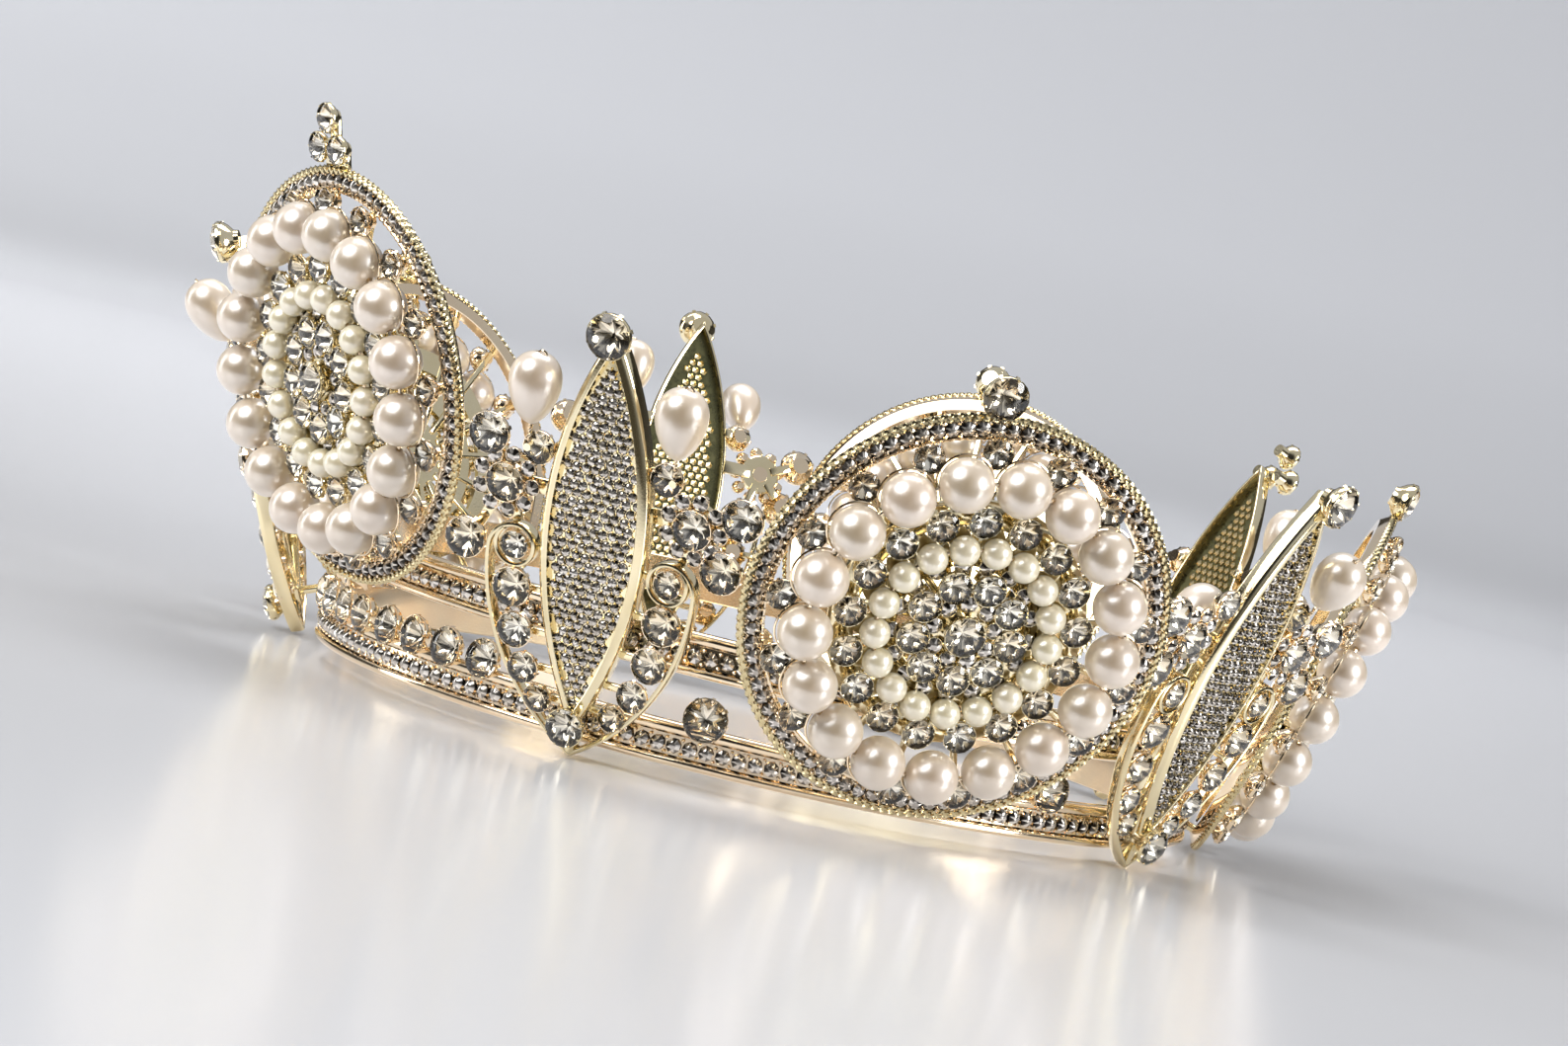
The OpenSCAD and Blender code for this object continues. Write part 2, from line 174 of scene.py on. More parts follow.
def stand(place):
    """Puts a flat element on the crown: x runs across it, y up it and z out of its face."""
    azimuth, radius, height, swing, turn, lean = place
    upright = turned(azimuth) @ at(0, -radius, height) @ turned(swing)
    return Matrix.Scale(MM, 4) @ upright @ turned(90 + lean, "X") @ turned(turn)


def on_medallion(i):
    return stand(MEDALLIONS[i])


def on_oval(i):
    return stand(OVALS[i])


def on_stem(i, side):
    """Place at the foot of a pear pearl's stem, with z along the stem."""
    across, up, out, outward, forward = STEMS[i][side > 0]
    return at(side * across, up, out) @ turned(-side * outward) @ turned(forward - 90, "X")


def round_the_face(angle, radius, lift):
    """A place on a medallion, clockwise from its top."""
    return turned(-angle) @ at(0, radius, lift)


def reach(place, x, y, z):
    """How far back from a point of an element the bands' outer face is, in millimetres."""
    start, way = place @ Vector((x, y, z)) / MM, (place.to_3x3() @ Vector((0, 0, -1))) / MM
    a = way.x**2 + way.y**2
    b = start.x * way.x + start.y * way.y
    c = start.x**2 + start.y**2 - mm(sizes("bands").radius) ** 2
    return (-b - sqrt(b * b - a * c)) / a


def sizes(kind):
    return getattr(bpy.context.scene, "crown_" + kind)


# Shapes that pieces take copies of


def cleaned(bm, name, smooth=True):
    """Mesh with its doubled points joined and its faces turned outwards."""
    bmesh.ops.remove_doubles(bm, verts=bm.verts, dist=1e-4)
    bmesh.ops.recalc_face_normals(bm, faces=bm.faces)
    for face in bm.faces:
        face.smooth = smooth
    mesh = bpy.data.meshes.new(name)
    bm.to_mesh(mesh)
    bm.free()
    return mesh


class Shape:
    """A closed shape in millimetres."""

    def __init__(self, bm, finish=None, smooth=True):
        if finish is not None:
            for face in bm.faces:
                face.material_index = finish
        self.mesh = cleaned(bm, "shape", smooth)
        self.co = np.empty((len(self.mesh.vertices), 3), np.float32)
        self.mesh.vertices.foreach_get("co", self.co.ravel())
        self.mesh.attributes.new("tint", "FLOAT", "POINT")
        # Each face can carry a painted glint, the painted brightness of a stone's facet
        self.mesh.attributes.new("painted_glint", "FLOAT", "FACE")


def put(bm, shape, place=Matrix(), tint=0.5):
    """Adds a copy of a shape to a piece."""
    m = np.array(place)
    co = shape.co @ m[:3, :3].T + m[:3, 3]
    shape.mesh.vertices.foreach_set("co", co.astype(np.float32).ravel())
    shape.mesh.attributes["tint"].data.foreach_set("value", np.full(len(co), tint, np.float32))
    bm.from_mesh(shape.mesh, face_normals=False, vertex_normals=False)


def new_piece():
    bm = bmesh.new()
    bm.verts.layers.float.new("tint")
    # Face layer for the painted glint of stone facets
    bm.faces.layers.float.new("painted_glint")
    return bm


def fit(bm, name, node, place, sharp=38):
    """Makes the piece that stands for a node of the crown."""
    bmesh.ops.transform(bm, matrix=place, verts=bm.verts)
    used = sorted({face.material_index for face in bm.faces})
    for face in bm.faces:
        face.material_index = used.index(face.material_index)
    bm.normal_update()
    mesh = bpy.data.meshes.new(name)
    bm.to_mesh(mesh)
    bm.free()
    for k in used:
        mesh.materials.append(bpy.data.materials[FINISHES[k]])
    mesh.set_sharp_from_angle(angle=radians(sharp))
    piece = bpy.data.objects.new(name, mesh)
    bpy.context.scene.collection.objects.link(piece)
    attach(piece, ROOT)
    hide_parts(node)


def joined(bm, points, closed=True):
    """New points and the edges from each to the next."""
    verts = [bm.verts.new(point) for point in points]
    return verts, [bm.edges.new(pair) for pair in zip(verts, verts[1:] + verts[:1] * closed)]


def sweep(bm, section, angle, steps, middle=(0, 0, 0), axis=(0, 0, 1), rise=0.0):
    """Turns a section by an angle in degrees and up by rise a step; a whole turn closes on itself."""
    return bmesh.ops.spin(
        bm, geom=section, cent=middle, axis=axis, dvec=(0, 0, rise), angle=radians(angle),
        steps=steps, use_merge=angle == 360,
    )["geom_last"]


def lathe(profile, steps, finish=GOLD, closed=True):
    """Turns a profile of (radius, height) points about the z axis."""
    bm = bmesh.new()
    verts, edges = joined(bm, [(r, 0, z) for r, z in profile], closed)
    sweep(bm, verts + edges, 360, steps)
    return Shape(bm, finish)


def circle(sides):
    return [(cos(a), sin(a)) for a in (2 * pi * k / sides for k in range(sides))]


def twisted_ring(radius, height, half, lobes, twists, steps, sides, depth, finish):
    """Ring of twisted or beaded wire; half is half the width of its section."""
    bm = bmesh.new()
    verts, edges = joined(bm, [(radius + x, 0, z) for x, z in circle(sides)])
    sweep(bm, verts + edges, 360, steps)
    for v in bm.verts:
        around = atan2(v.co.y, v.co.x)
        out = hypot(v.co.x, v.co.y) - radius
        angle = atan2(v.co.z, out)
        size = 1 - depth * (0.5 - 0.5 * cos(lobes * angle + twists * around))
        r = radius + half * size * cos(angle)
        v.co = (r * cos(around), r * sin(around), height + half * size * sin(angle))
    return Shape(bm, finish)


def cut_stone(width, rings, culet, painted_glint_levels, upper):
    """Cut stone with its girdle at z = 0, foiled below, each facet with a painted glint: a darker or brighter
    foil that stands in for the light and dark it reflects.

    A ring is its corners, radius, height and turn. Radii and heights are parts of the stone's radius.
    """
    bm = bmesh.new()
    r = width / 2
    for corners, radius, height, turn in rings:
        bmesh.ops.create_circle(
            bm, segments=corners, radius=radius * r, matrix=at(0, 0, height * r) @ turned(turn)
        )
    bm.verts.new((0, 0, culet * r))
    bmesh.ops.convex_hull(bm, input=bm.verts)
    loose = [e for e in bm.edges if not e.link_faces]
    bmesh.ops.delete(bm, geom=loose, context="EDGES")
    bmesh.ops.dissolve_limit(bm, angle_limit=radians(1.5), verts=bm.verts, edges=bm.edges)
    bm.normal_update()
    for face in bm.faces:
        face.material_index = upper if face.normal.z > -0.05 else FOIL
    stone = Shape(bm, smooth=False)
    rng = random.Random(len(stone.mesh.polygons))
    # Painted glints: set facet by facet in place of the bright and dark reflections of a cut stone
    painted_table_glint, painted_glints = 0.6, []
    for face in stone.mesh.polygons:
        wedge = round(degrees(atan2(face.center.y, face.center.x)) / 22.5 + 0.25)
        shade = painted_glint_levels[wedge % len(painted_glint_levels)] if upper == CRYSTAL else rng.choice(painted_glint_levels)
        painted_glints.append(painted_table_glint if face.normal.z > 0.99 else shade)
    stone.mesh.attributes["painted_glint"].data.foreach_set("value", painted_glints)
    return stone


@functools.cache
def brilliant(width):
    """Clear stone with table, star, kite and break facets; its foil's painted glint alternates dark and
    bright round it.
    """
    crown, girdle = ((8, 0.5, 0.34, 0), (8, 0.78, 0.22, 22.5)), ((16, 1, 0.03, 0), (16, 1, -0.04, 0))
    pavilion = (8, 0.46, -0.5, 22.5)
    return cut_stone(width, (*crown, *girdle, pavilion), -0.85, (0.35, 1, 1, 0.6), CRYSTAL)


@functools.cache
def chip(width):
    """Small stone with a table and a row of facets, each facet painted darker or brighter as a painted glint.
    """
    return cut_stone(width, ((8, 0.42, 0.42, 0), (8, 1, 0, 22.5)), -0.6, (0, 0.1, 0.3, 0.9, 1), SMALL)


@functools.cache
def cup(width, depth, claws, finish=GOLD):
    """Setting of a cut stone: a bowl on a foot, with claws bent over the girdle."""
    r = width / 2
    depth = max(depth, 0.93 * r)
    outside = ((0.52, -0.8), (0.8, -0.55), (1, -0.28), (1.04, -0.06), (1.02, 0))
    inside = ((0.985, 0), (0.97, -0.13), (0.3, -0.88), (0, -0.88))
    profile = [(0, -depth), (0.48 * r, -depth), *((x * r, z * r) for x, z in outside + inside)]
    body = lathe(profile, 20 if width > 5 else 16, finish, closed=False)
    bm = bmesh.new()
    bm.from_mesh(body.mesh)
    for k in range(claws):
        claw = bmesh.ops.create_cube(bm, size=1)["verts"]
        for v in claw:
            high = v.co.z > 0
            out = 1.0 + v.co.x * 0.12 - (0.1 if high else 0)
            top = 0.14 if out > 0.9 else 0.1
            v.co = (r * out, v.co.y * r * (0.09 if high else 0.2), r * (top if high else -0.3))
        bmesh.ops.rotate(bm, verts=claw, cent=(0, 0, 0), matrix=turned(360 * (k + 0.5) / claws))
    return Shape(bm, finish)


@functools.cache
def bead(width, finish):
    bm = bmesh.new()
    bmesh.ops.create_icosphere(bm, subdivisions=1, radius=width / 2)
    return Shape(bm, finish)


@functools.cache
def spike(width):
    """Tiny four-sided claw between pave stones."""
    bm = bmesh.new()
    bmesh.ops.create_cone(
        bm, cap_ends=True, segments=4, radius1=width / 2, radius2=width / 8, depth=width,
        matrix=turned(45),
    )
    return Shape(bm, GOLD, smooth=False)


@functools.cache
def rod(radius):
    """Rod one millimetre long that starts at the origin and runs up z."""
    bm = bmesh.new()
    bmesh.ops.create_cone(
        bm, cap_ends=True, segments=12, radius1=radius, radius2=radius, depth=1, matrix=at(0, 0, 0.5)
    )
    return Shape(bm, GOLD)


def bar(bm, a, b, width, base, thick):
    """Flat bar with softened edges between two points of an element's face."""
    run = bmesh.new()
    dx, dy = b[0] - a[0], b[1] - a[1]
    bmesh.ops.create_cube(run, size=1, matrix=Matrix.Diagonal((hypot(dx, dy), width, thick, 1)))
    bmesh.ops.bevel(
        run, geom=list(run.edges), offset=min(width, thick) * 0.25, segments=2, profile=0.5,
        affect="EDGES", material=-1,
    )
    middle = at((a[0] + b[0]) / 2, (a[1] + b[1]) / 2, base + thick / 2)
    put(bm, Shape(run, GOLD), middle @ turned(degrees(atan2(dy, dx))))


def bent_wire(radius, start, angle, steps, **turn):
    """Round wire that starts across z at a place and is swept by an angle, closed at both ends."""
    bm = bmesh.new()
    verts = bmesh.ops.create_circle(bm, segments=6, radius=radius, matrix=start)["verts"]
    sweep(bm, verts + list(bm.edges), angle, steps, **turn)
    bmesh.ops.holes_fill(bm, edges=bm.edges, sides=8)
    return Shape(bm, ROSE)


def tipped(rng, most):
    """A small tilt any way and a turn, as hand-set stones have."""
    tilt = turned(rng.uniform(-most, most), "X") @ turned(rng.uniform(-most, most), "Y")
    return tilt @ turned(rng.uniform(0, 45))


def seat(bm, place, width, depth, claws, tint, finish=GOLD):
    """A cut stone in its cup, tipped a little its own way."""
    tip = 3.5
    put(bm, cup(width, depth, claws, finish), place @ turned(tint * 40))
    put(bm, brilliant(width), place @ turned(tint * 360) @ turned(tip, "X") @ turned(tint * 90), tint)


def small_seat(bm, place, width, depth, claws, rng, finish=GOLD):
    """A small stone in its cup, tipped a little its own way."""
    put(bm, cup(width, depth, claws, finish), place)
    put(bm, chip(width), place @ tipped(rng, 8), rng.random())


# Bands

# Angles of the lower band's stones from the front, and of its lone stones from each oval
FRONT_STONES, LONE_STONE = (3.3, 9, 15, 21), 14
# Widths of both, and how far over the band and out of it their girdles are
FRONT_WIDTH, LONE_WIDTH, SEAT_OVER, SEAT_OUT = 6, 6.6, 1.3, 0.55


def band_profile(bottom, s):
    """Plain inner wall, half-round rails and the channel of the stone row."""
    r, h = mm(s.radius), mm(s.height)
    wall, low_rail, high_rail, soft = 1.9, 0.75, 1.0, 0.15
    points = [(r - wall, bottom + soft), (r - wall + soft, bottom)]
    for centre, size in ((low_rail, low_rail), (h - high_rail, high_rail)):
        for k in range(9):
            a = radians(-90 + 22.5 * k)
            points.append((r - size + size * cos(a), bottom + centre + size * sin(a)))
        if size < high_rail:
            points += [(r - high_rail, bottom + 1.62), (r - high_rail, bottom + h - 2.1)]
    return points + [(r - wall + soft, bottom + h), (r - wall, bottom + h - soft)]


def stone_row(bm, bottom, s, rng):
    """Row of small stones with a claw at each corner, all round a band."""
    sunk, level, claw, claw_level = 0.42, 3.05, 0.62, 1.05
    r, step = mm(s.radius) - sunk, 360 / s.stones
    for k in range(s.stones):
        face = turned(k * step) @ at(0, -r, bottom + level) @ turned(90, "X")
        put(bm, chip(mm(s.stone)), face @ tipped(rng, 7), rng.random())
        between = turned((k + 0.5) * step) @ at(0, -r + 0.1, bottom + level) @ turned(90, "X")
        for y in (-claw_level, claw_level):
            put(bm, bead(claw, ROSE), between @ at(0, y, 0))


def band_seats():
    """Angles and widths of the stones that stand on the lower band."""
    for angle in FRONT_STONES:
        yield -angle, FRONT_WIDTH
        yield angle, FRONT_WIDTH
    for place in OVALS:
        for side in (-LONE_STONE, LONE_STONE):
            if abs(place[0] + side - 180) < 140:
                yield place[0] + side, LONE_WIDTH


class CROWN_OT_bands(bpy.types.Operator):
    """Build the two bands, their rows of stones and the stones that stand on the lower one"""

    bl_idname = "crown.bands"
    bl_label = "Build bands"

    def execute(self, context):
        s = sizes("bands")
        for name, level in (("lower_band", s.lower), ("upper_band", s.upper)):
            rng = random.Random(name)
            bottom = mm(level)
            bm = new_piece()
            put(bm, lathe(band_profile(bottom, s), 288, ROSE))
            stone_row(bm, bottom, s, rng)
            if level == s.lower:
                spot = at(0, -mm(s.radius) - SEAT_OUT, bottom + mm(s.height) + SEAT_OVER)
                for angle, width in band_seats():
                    face = turned(angle) @ spot @ turned(90, "X")
                    seat(bm, face, width, BOWL, 8, rng.random(), ROSE)
            fit(bm, name + "_set", name, Matrix.Scale(MM, 4))
        return {"FINISHED"}


# Medallions

# Radius and height of a circle of stones, then their width, depth of cup and claws
GAP_STONES = (27, 3.65, 4.6, 2.5, 7)
INNER_STONES = (17, 5, 4.8, 3.4, 7)
MIDDLE_STONES = (7.4, 5.8, 4.9, 3.4, 8)
FILLERS = (4.55, 5.5, 2.5, 2.6, 4)
RIM_FILLERS = (10.15, 4.4, 2.5, 2.0, 4)
HEART_LIFT = 7


def medallion_ring(bm, s, rng):
    """Flat ring with a rope edge, a row of small stones and a beaded inner edge."""
    ring, half = mm(s.ring), 1.1
    inner, outer, middle, count = ring - 4.15, ring - 0.4, ring - 2.4, 84
    profile = (
        (inner + 0.15, -half), (outer - 1.7, -half), (outer - 0.3, 0.2), (outer - 0.1, half - 0.4),
        (outer - 0.4, half - 0.25), (inner + 0.6, half - 0.5), (inner + 0.5, half),
        (inner + 0.2, half), (inner, half - 0.15), (inner, -half + 0.15),
    )
    put(bm, lathe(profile, 144, ROSE))
    # The rope's darker gold is painted shade of its twists
    put(bm, twisted_ring(ring - 0.75, half - 0.35, 0.74, 4, 144, 1008, 12, 0.5, SHADED_GOLD))
    put(bm, twisted_ring(inner + 0.3, half - 0.05, 0.36, 0, 150, 600, 6, 0.4, ROSE))
    for k in range(count):
        spot = round_the_face(k * 360 / count, middle, half - 0.05)
        put(bm, chip(2.3), spot @ tipped(rng, 10), rng.random())
        for r in (middle - 1, middle + 1):
            put(bm, bead(0.8, ROSE), round_the_face((k + 0.5) * 360 / count, r, half - 0.1))


def medallion_plate(bm):
    """Pierced back plate: a hub, two flat rings and the spokes between them."""
    for r0, r1, low, high in ((15.3, 19.2, 1.0, 2.0), (9.2, 13.2, 1.2, 2.5)):
        edge = high - 0.2
        put(bm, lathe(((r0, low), (r1, low), (r1, edge), (r1 - 0.3, high), (r0 + 0.3, high), (r0, edge)), 68))
    hub = ((0, 1.2), (6.2, 1.2), (6.2, 2.3), (5.8, 2.7), (0, 2.7))
    put(bm, lathe(hub, 36, closed=False))
    ends, width, base, thick = (5.6, 28.6), 1.1, 0.9, 0.7
    for k in range(PEARLS):
        a, b = (turned(-k * PITCH) @ Vector((0, r, 0)) for r in ends)
        bar(bm, a, b, width, base, thick)


def petal(width, long):
    """Pointed leaf, its root at the origin and its tip up y."""
    bm = bmesh.new()
    bmesh.ops.create_grid(bm, x_segments=2, y_segments=6, size=0.5)
    for v in bm.verts:
        t = v.co.y + 0.5
        half = width * sin(pi * (0.15 + 0.85 * t) ** 0.8) + 0.02
        ridge = 0.3 * (1 - abs(v.co.x) * 2)
        v.co = (v.co.x * half, t * long, ridge * (1 - t) + 1.1 * t * t)
    bmesh.ops.solidify(bm, geom=bm.faces, thickness=0.35)
    return Shape(bm, GOLD)


def medallion_settings(bm, rng):
    """Cups, stones and leaves of a medallion."""
    leaf = petal(3.6, 4.4)
    for k in range(PEARLS):
        for (radius, lift, *cut), finish in ((GAP_STONES, ROSE), (INNER_STONES, GOLD)):
            seat(bm, round_the_face(k * PITCH, radius, lift), *cut, rng.random(), finish)
        put(bm, leaf, round_the_face((k + 0.5) * PITCH, 11.8, 2.8))
    for k in range(9):
        radius, lift, *cut = MIDDLE_STONES
        seat(bm, round_the_face(180 + k * 40, radius, lift), *cut, rng.random())
        radius, lift, *cut = FILLERS
        small_seat(bm, round_the_face(200 + k * 40, radius, lift), *cut, rng)
    for k in range(PEARLS):
        radius, lift, *cut = RIM_FILLERS
        small_seat(bm, round_the_face((k + 0.5) * PITCH, radius, lift), *cut, rng)


def pearl_wires(bm, s):
    """Thin wire arcs that hold the large pearls, from one gap stone to the next."""
    r, lift, whole = mm(s.pearl) / 2 + 0.2, 4.3, 176
    wire = bent_wire(0.17, at(r, 0, 0) @ turned(90, "X"), whole, 18)
    for k in range(PEARLS):
        put(bm, wire, round_the_face((k + 0.5) * PITCH, mm(s.pearl_circle), lift) @ turned(90 - whole / 2))


def stays(bm, place, points, lift):
    """Rods from the back of an element to the bands."""
    for x, y in points:
        span = reach(place, x, y, lift)
        put(bm, rod(0.7), at(x, y, lift - span) @ Matrix.Diagonal((1, 1, span, 1)))


def cluster(width, across, low):
    """Places of three stones, one above two."""
    half = width / 2 + 0.36
    return ((across - half, low), (across + half, low), (across, low + 1.73 * half))


def on_top(s):
    """Place of the single stone on top of a medallion."""
    return at(0, mm(s.ring) + mm(s.crest) * 0.36, 1.6)


class CROWN_OT_medallions(bpy.types.Operator):
    """Build the medallions' rings, plates, cups and the stones in them"""

    bl_idname = "crown.medallions"
    bl_label = "Build medallions"

    def execute(self, context):
        s = sizes("medallions")
        for i in range(ELEMENTS):
            rng = random.Random(31 + i)
            place = on_medallion(i)
            bm = new_piece()
            medallion_ring(bm, s, rng)
            medallion_plate(bm)
            medallion_settings(bm, rng)
            pearl_wires(bm, s)
            put(bm, cup(mm(s.heart), 4.2, 8), at(0, 0, HEART_LIFT))
            if i == FRONT:
                across, low, lift = CREST
                for x, y in cluster(mm(s.crest_small), across, low):
                    put(bm, cup(mm(s.crest_small), 1.9, 7), at(x, y, lift))
                bar(bm, (across, low - 1), (across, low + 4.5), 2.2, -0.3, 0.9)
                bar(bm, (across - 2.9, low - 1.9), (across + 2.9, low - 1.9), 2.8, -0.7, 1.2)
                stays(bm, place, ((-9, -28), (9, -28)), 0.8)
            else:
                put(bm, cup(mm(s.crest), 2.8, 8), on_top(s))
                stays(bm, place, ((-12, -15.5), (12, -15.5), (0, -29.3)), 0.8)
            fit(bm, f"medallion_{i + 1}", f"medallion_frame_{i + 1}", place)
        return {"FINISHED"}


class CROWN_OT_medallion_stones(bpy.types.Operator):
    """Build the medallions' centre stones and the stones on top of them"""

    bl_idname = "crown.medallion_stones"
    bl_label = "Build medallion stones"

    def execute(self, context):
        s = sizes("medallions")
        for i in range(ELEMENTS):
            place = on_medallion(i)
            bm = new_piece()
            put(bm, brilliant(mm(s.heart)), at(0, 0, HEART_LIFT), 0.4)
            fit(bm, f"heart_stone_{i + 1}", f"centre_stone_{i + 1}", place)
            bm = new_piece()
            if i == FRONT:
                for k, (x, y) in enumerate(cluster(mm(s.crest_small), *CREST[:2])):
                    put(bm, brilliant(mm(s.crest_small)), at(x, y, CREST[2]) @ turned(17 * k), 0.3 * k)
            else:
                put(bm, brilliant(mm(s.crest)), on_top(s), 0.7)
            fit(bm, f"crest_stone_{i + 1}", f"finial_{i + 1}", place)
        return {"FINISHED"}


# Pearls


def drilled_pearl(width, finish, around, along, hole):
    """Round pearl, drilled along x."""
    bm = bmesh.new()
    r = width / 2
    bmesh.ops.create_uvsphere(bm, u_segments=around, v_segments=along, radius=r)
    ring = r * sin(pi / along)
    for v in bm.verts:
        if abs(v.co.z) > r * 0.9999:
            v.co.z -= copysign(hole * 1.6, v.co.z)
        elif hypot(v.co.x, v.co.y) < ring * 1.01:
            v.co.x *= hole / ring
            v.co.y *= hole / ring
            v.co.z = copysign(sqrt(r * r - hole * hole), v.co.z)
    bmesh.ops.rotate(bm, verts=bm.verts, cent=(0, 0, 0), matrix=turned(90, "Y"))
    return Shape(bm, finish)


class CROWN_OT_pearls(bpy.types.Operator):
    """Build the medallions' circles of pearls and their threads"""

    bl_idname = "crown.pearls"
    bl_label = "Build pearls"

    def execute(self, context):
        s = sizes("medallions")
        # kind, width, circle, lift, finish, slot, radius of the thread, faces round and along, hole
        kinds = (
            ("pearl", s.pearl, s.pearl_circle, s.pearl_lift, PEARL, "pearl", 0.3, 32, 20, 0.55),
            ("small_pearl", s.seed, s.seed_circle, s.seed_lift, CREAM, "cream_pearl", 0.25, 22, 14, 0.42),
        )
        for kind, width, radius, lift, finish, slot, wire, around, along, hole in kinds:
            width, radius, lift = mm(width), mm(radius), mm(lift)
            pearl = drilled_pearl(width, finish, around, along, hole)
            path = radius + width * width / (16 * radius)
            thread = lathe([(path + wire * x, lift + wire * z) for x, z in circle(8)], 102, ROSE)
            for i in range(ELEMENTS):
                rng = random.Random(f"{kind}{i}")
                bm = new_piece()
                for k in range(PEARLS):
                    place = round_the_face((k + 0.5) * PITCH, radius, lift) @ turned(rng.uniform(0, 360), "X")
                    put(bm, pearl, place, rng.random())
                fit(bm, f"{kind}s_{i + 1}", f"{kind}_ring_{i + 1}", on_medallion(i), 60)
                bm = new_piece()
                put(bm, thread)
                fit(bm, f"{kind}_thread_{i + 1}", f"{kind}_wire_{i + 1}", on_medallion(i))
        return {"FINISHED"}


# Pointed ovals

# How far the outline's middle is up an oval
SHIFT = -0.3
# Across, up and width of the stones along a scroll, from its loop down
SCROLL_SEATS = ((12.3, -5.05, 4.3), (12.1, -11.5, 6), (10.9, -18, 5.5), (8.9, -23.4, 4.8), (6.1, -27.6, 4.4))
# Across and up of the link stones, beside the front medallion and elsewhere
LINKS_FRONT = ((18.3, 10.8), (20.4, -5.9))
LINKS_LOW = ((22.5, 7.3), (20.1, -1.3))
# Across, up and width of a flower's middle stone and of the stone under a pear-shaped pearl
FLOWER = (15, 4, 6)
UNDER_DROP = (10.2, 10.4, 5)
# Levels of the stones' girdles and of the cups' feet
LINK_LIFT, CUP_BASE = -3, -5.7
# How far up the stones on the tips and the end of the scrolls are
TIP, FOOT, SCROLL_TIP = 30.2, -29.8, -34.8
# Level of the pave field at its edge, its rise, how far in it starts and how broad it is to the middle
FIELD, RISE, FIELD_EDGE, FIELD_HALF = -2.95, 0.35, 1.7, 6.7
# Shoulder of a scroll: across and up
SHOULDER = (12.3, -6.2)


def oval_arcs(s):
    """Radius of the outline's two arcs and how far their centres are from the middle."""
    long, wide = mm(s.length), mm(s.width)
    r = (long * long + wide * wide) / (4 * wide)
    return r, r - wide / 2


def oval_loop(bm, s, inset, z):
    """Closed loop of edges along the outline, moved in by inset."""
    r, centre = oval_arcs(s)
    r, steps = r - inset, 30
    half = acos(centre / r)
    points = []
    for side in (1, -1):
        for k in range(steps):
            a = side * (-half + 2 * half * k / steps)
            points.append((side * (r * cos(a) - centre), r * sin(a)))
    return joined(bm, [(x, y + SHIFT, z) for x, y in points])


def dome(s, x, y):
    """Height and slope of the pave field at a point, and the point's distance to the outline."""
    r, centre = oval_arcs(s)
    y -= SHIFT
    away = hypot(abs(x) + centre, y)
    t = min(1.0, max(0.0, (r - away - FIELD_EDGE) / FIELD_HALF)) * pi / 2
    slope = -RISE * cos(t) * pi / 2 / FIELD_HALF
    way = Vector((copysign(abs(x) + centre, x), y, 0)).normalized()
    return FIELD + RISE * sin(t), way * slope, r - away


def oval_shell(bm, s):
    """Dish with a broad polished edge, open at the back, and a domed field, with a dark sheet in its back
    that is painted shade.
    """
    shell = bmesh.new()
    field = [
        (inset, FIELD + RISE * sin((inset - FIELD_EDGE) / FIELD_HALF * pi / 2))
        for inset in (7.6, 5.6, 3.8, 2.6)
    ]
    edge = (
        (1.72, FIELD), (1.55, -2.12), (1.42, -2.03), (1.1, -2.12), (0.7, -2.28), (0.35, -2.5), (0.1, -2.8),
        (0, -3.15), (0, -5.1),
    )
    back = ((0.1, -5.24), (0.25, -5.3), (0.45, -5.28), (0.6, -5.2), (0.66, -5.05), (0.7, -3.7))
    loops = [oval_loop(shell, s, inset, z) for inset, z in (*field, *edge, *back)]
    for (_, a), (_, b) in zip(loops, loops[1:]):
        bmesh.ops.bridge_loops(shell, edges=a + b)
    shell.faces.new(loops[0][0])
    shell.faces.new(loops[-1][0])
    put(bm, Shape(shell, GOLD))
    # Nearly black sheet across the dish's back: painted shade in the hollow
    shade_sheet = bmesh.new()
    loops = [oval_loop(shade_sheet, s, 0.68, z) for z in (-3.6, -3.8)]
    bmesh.ops.bridge_loops(shade_sheet, edges=loops[0][1] + loops[1][1])
    for verts, _ in loops:
        shade_sheet.faces.new(verts)
    put(bm, Shape(shade_sheet, PAINTED_SHADE))


def pave(bm, s, rng):
    """Field of small stones, each among tiny claws, and the bumps on its back."""
    stone, pitch, top = mm(s.pave), 1.54, 25.2
    row = pitch * sqrt(3) / 2
    for j in range(-22, 23):
        for i in range(-6, 7):
            x, y = (i + 0.5 * (j % 2)) * pitch, j * row
            z, slope, edge = dome(s, x, y)
            if edge > 1.8 and y < top:
                facing = (-slope + Vector((0, 0, 1))).normalized()
                tilt = Vector((0, 0, 1)).rotation_difference(facing).to_matrix().to_4x4()
                dx, dy = rng.uniform(-0.05, 0.05), rng.uniform(-0.05, 0.05)
                spot = at(x + dx, y + dy, z + (0.2 if edge > 2.3 else 0.1))
                put(bm, chip(stone), spot @ tilt @ tipped(rng, 19), rng.random())
                if edge > 2.7:
                    # Bumps in the darker gold: painted shade of the ovals' backs
                    put(bm, bead(1.5, SHADED_GOLD), at(x, y, -3.75))
            for dx, dy in ((0, row * 2 / 3), (pitch / 2, row / 3)):
                z, _, edge = dome(s, x + dx, y + dy)
                if edge > 2.0 and y < top + 0.2:
                    put(bm, spike(0.5), at(x + dx, y + dy, z + 0.22))


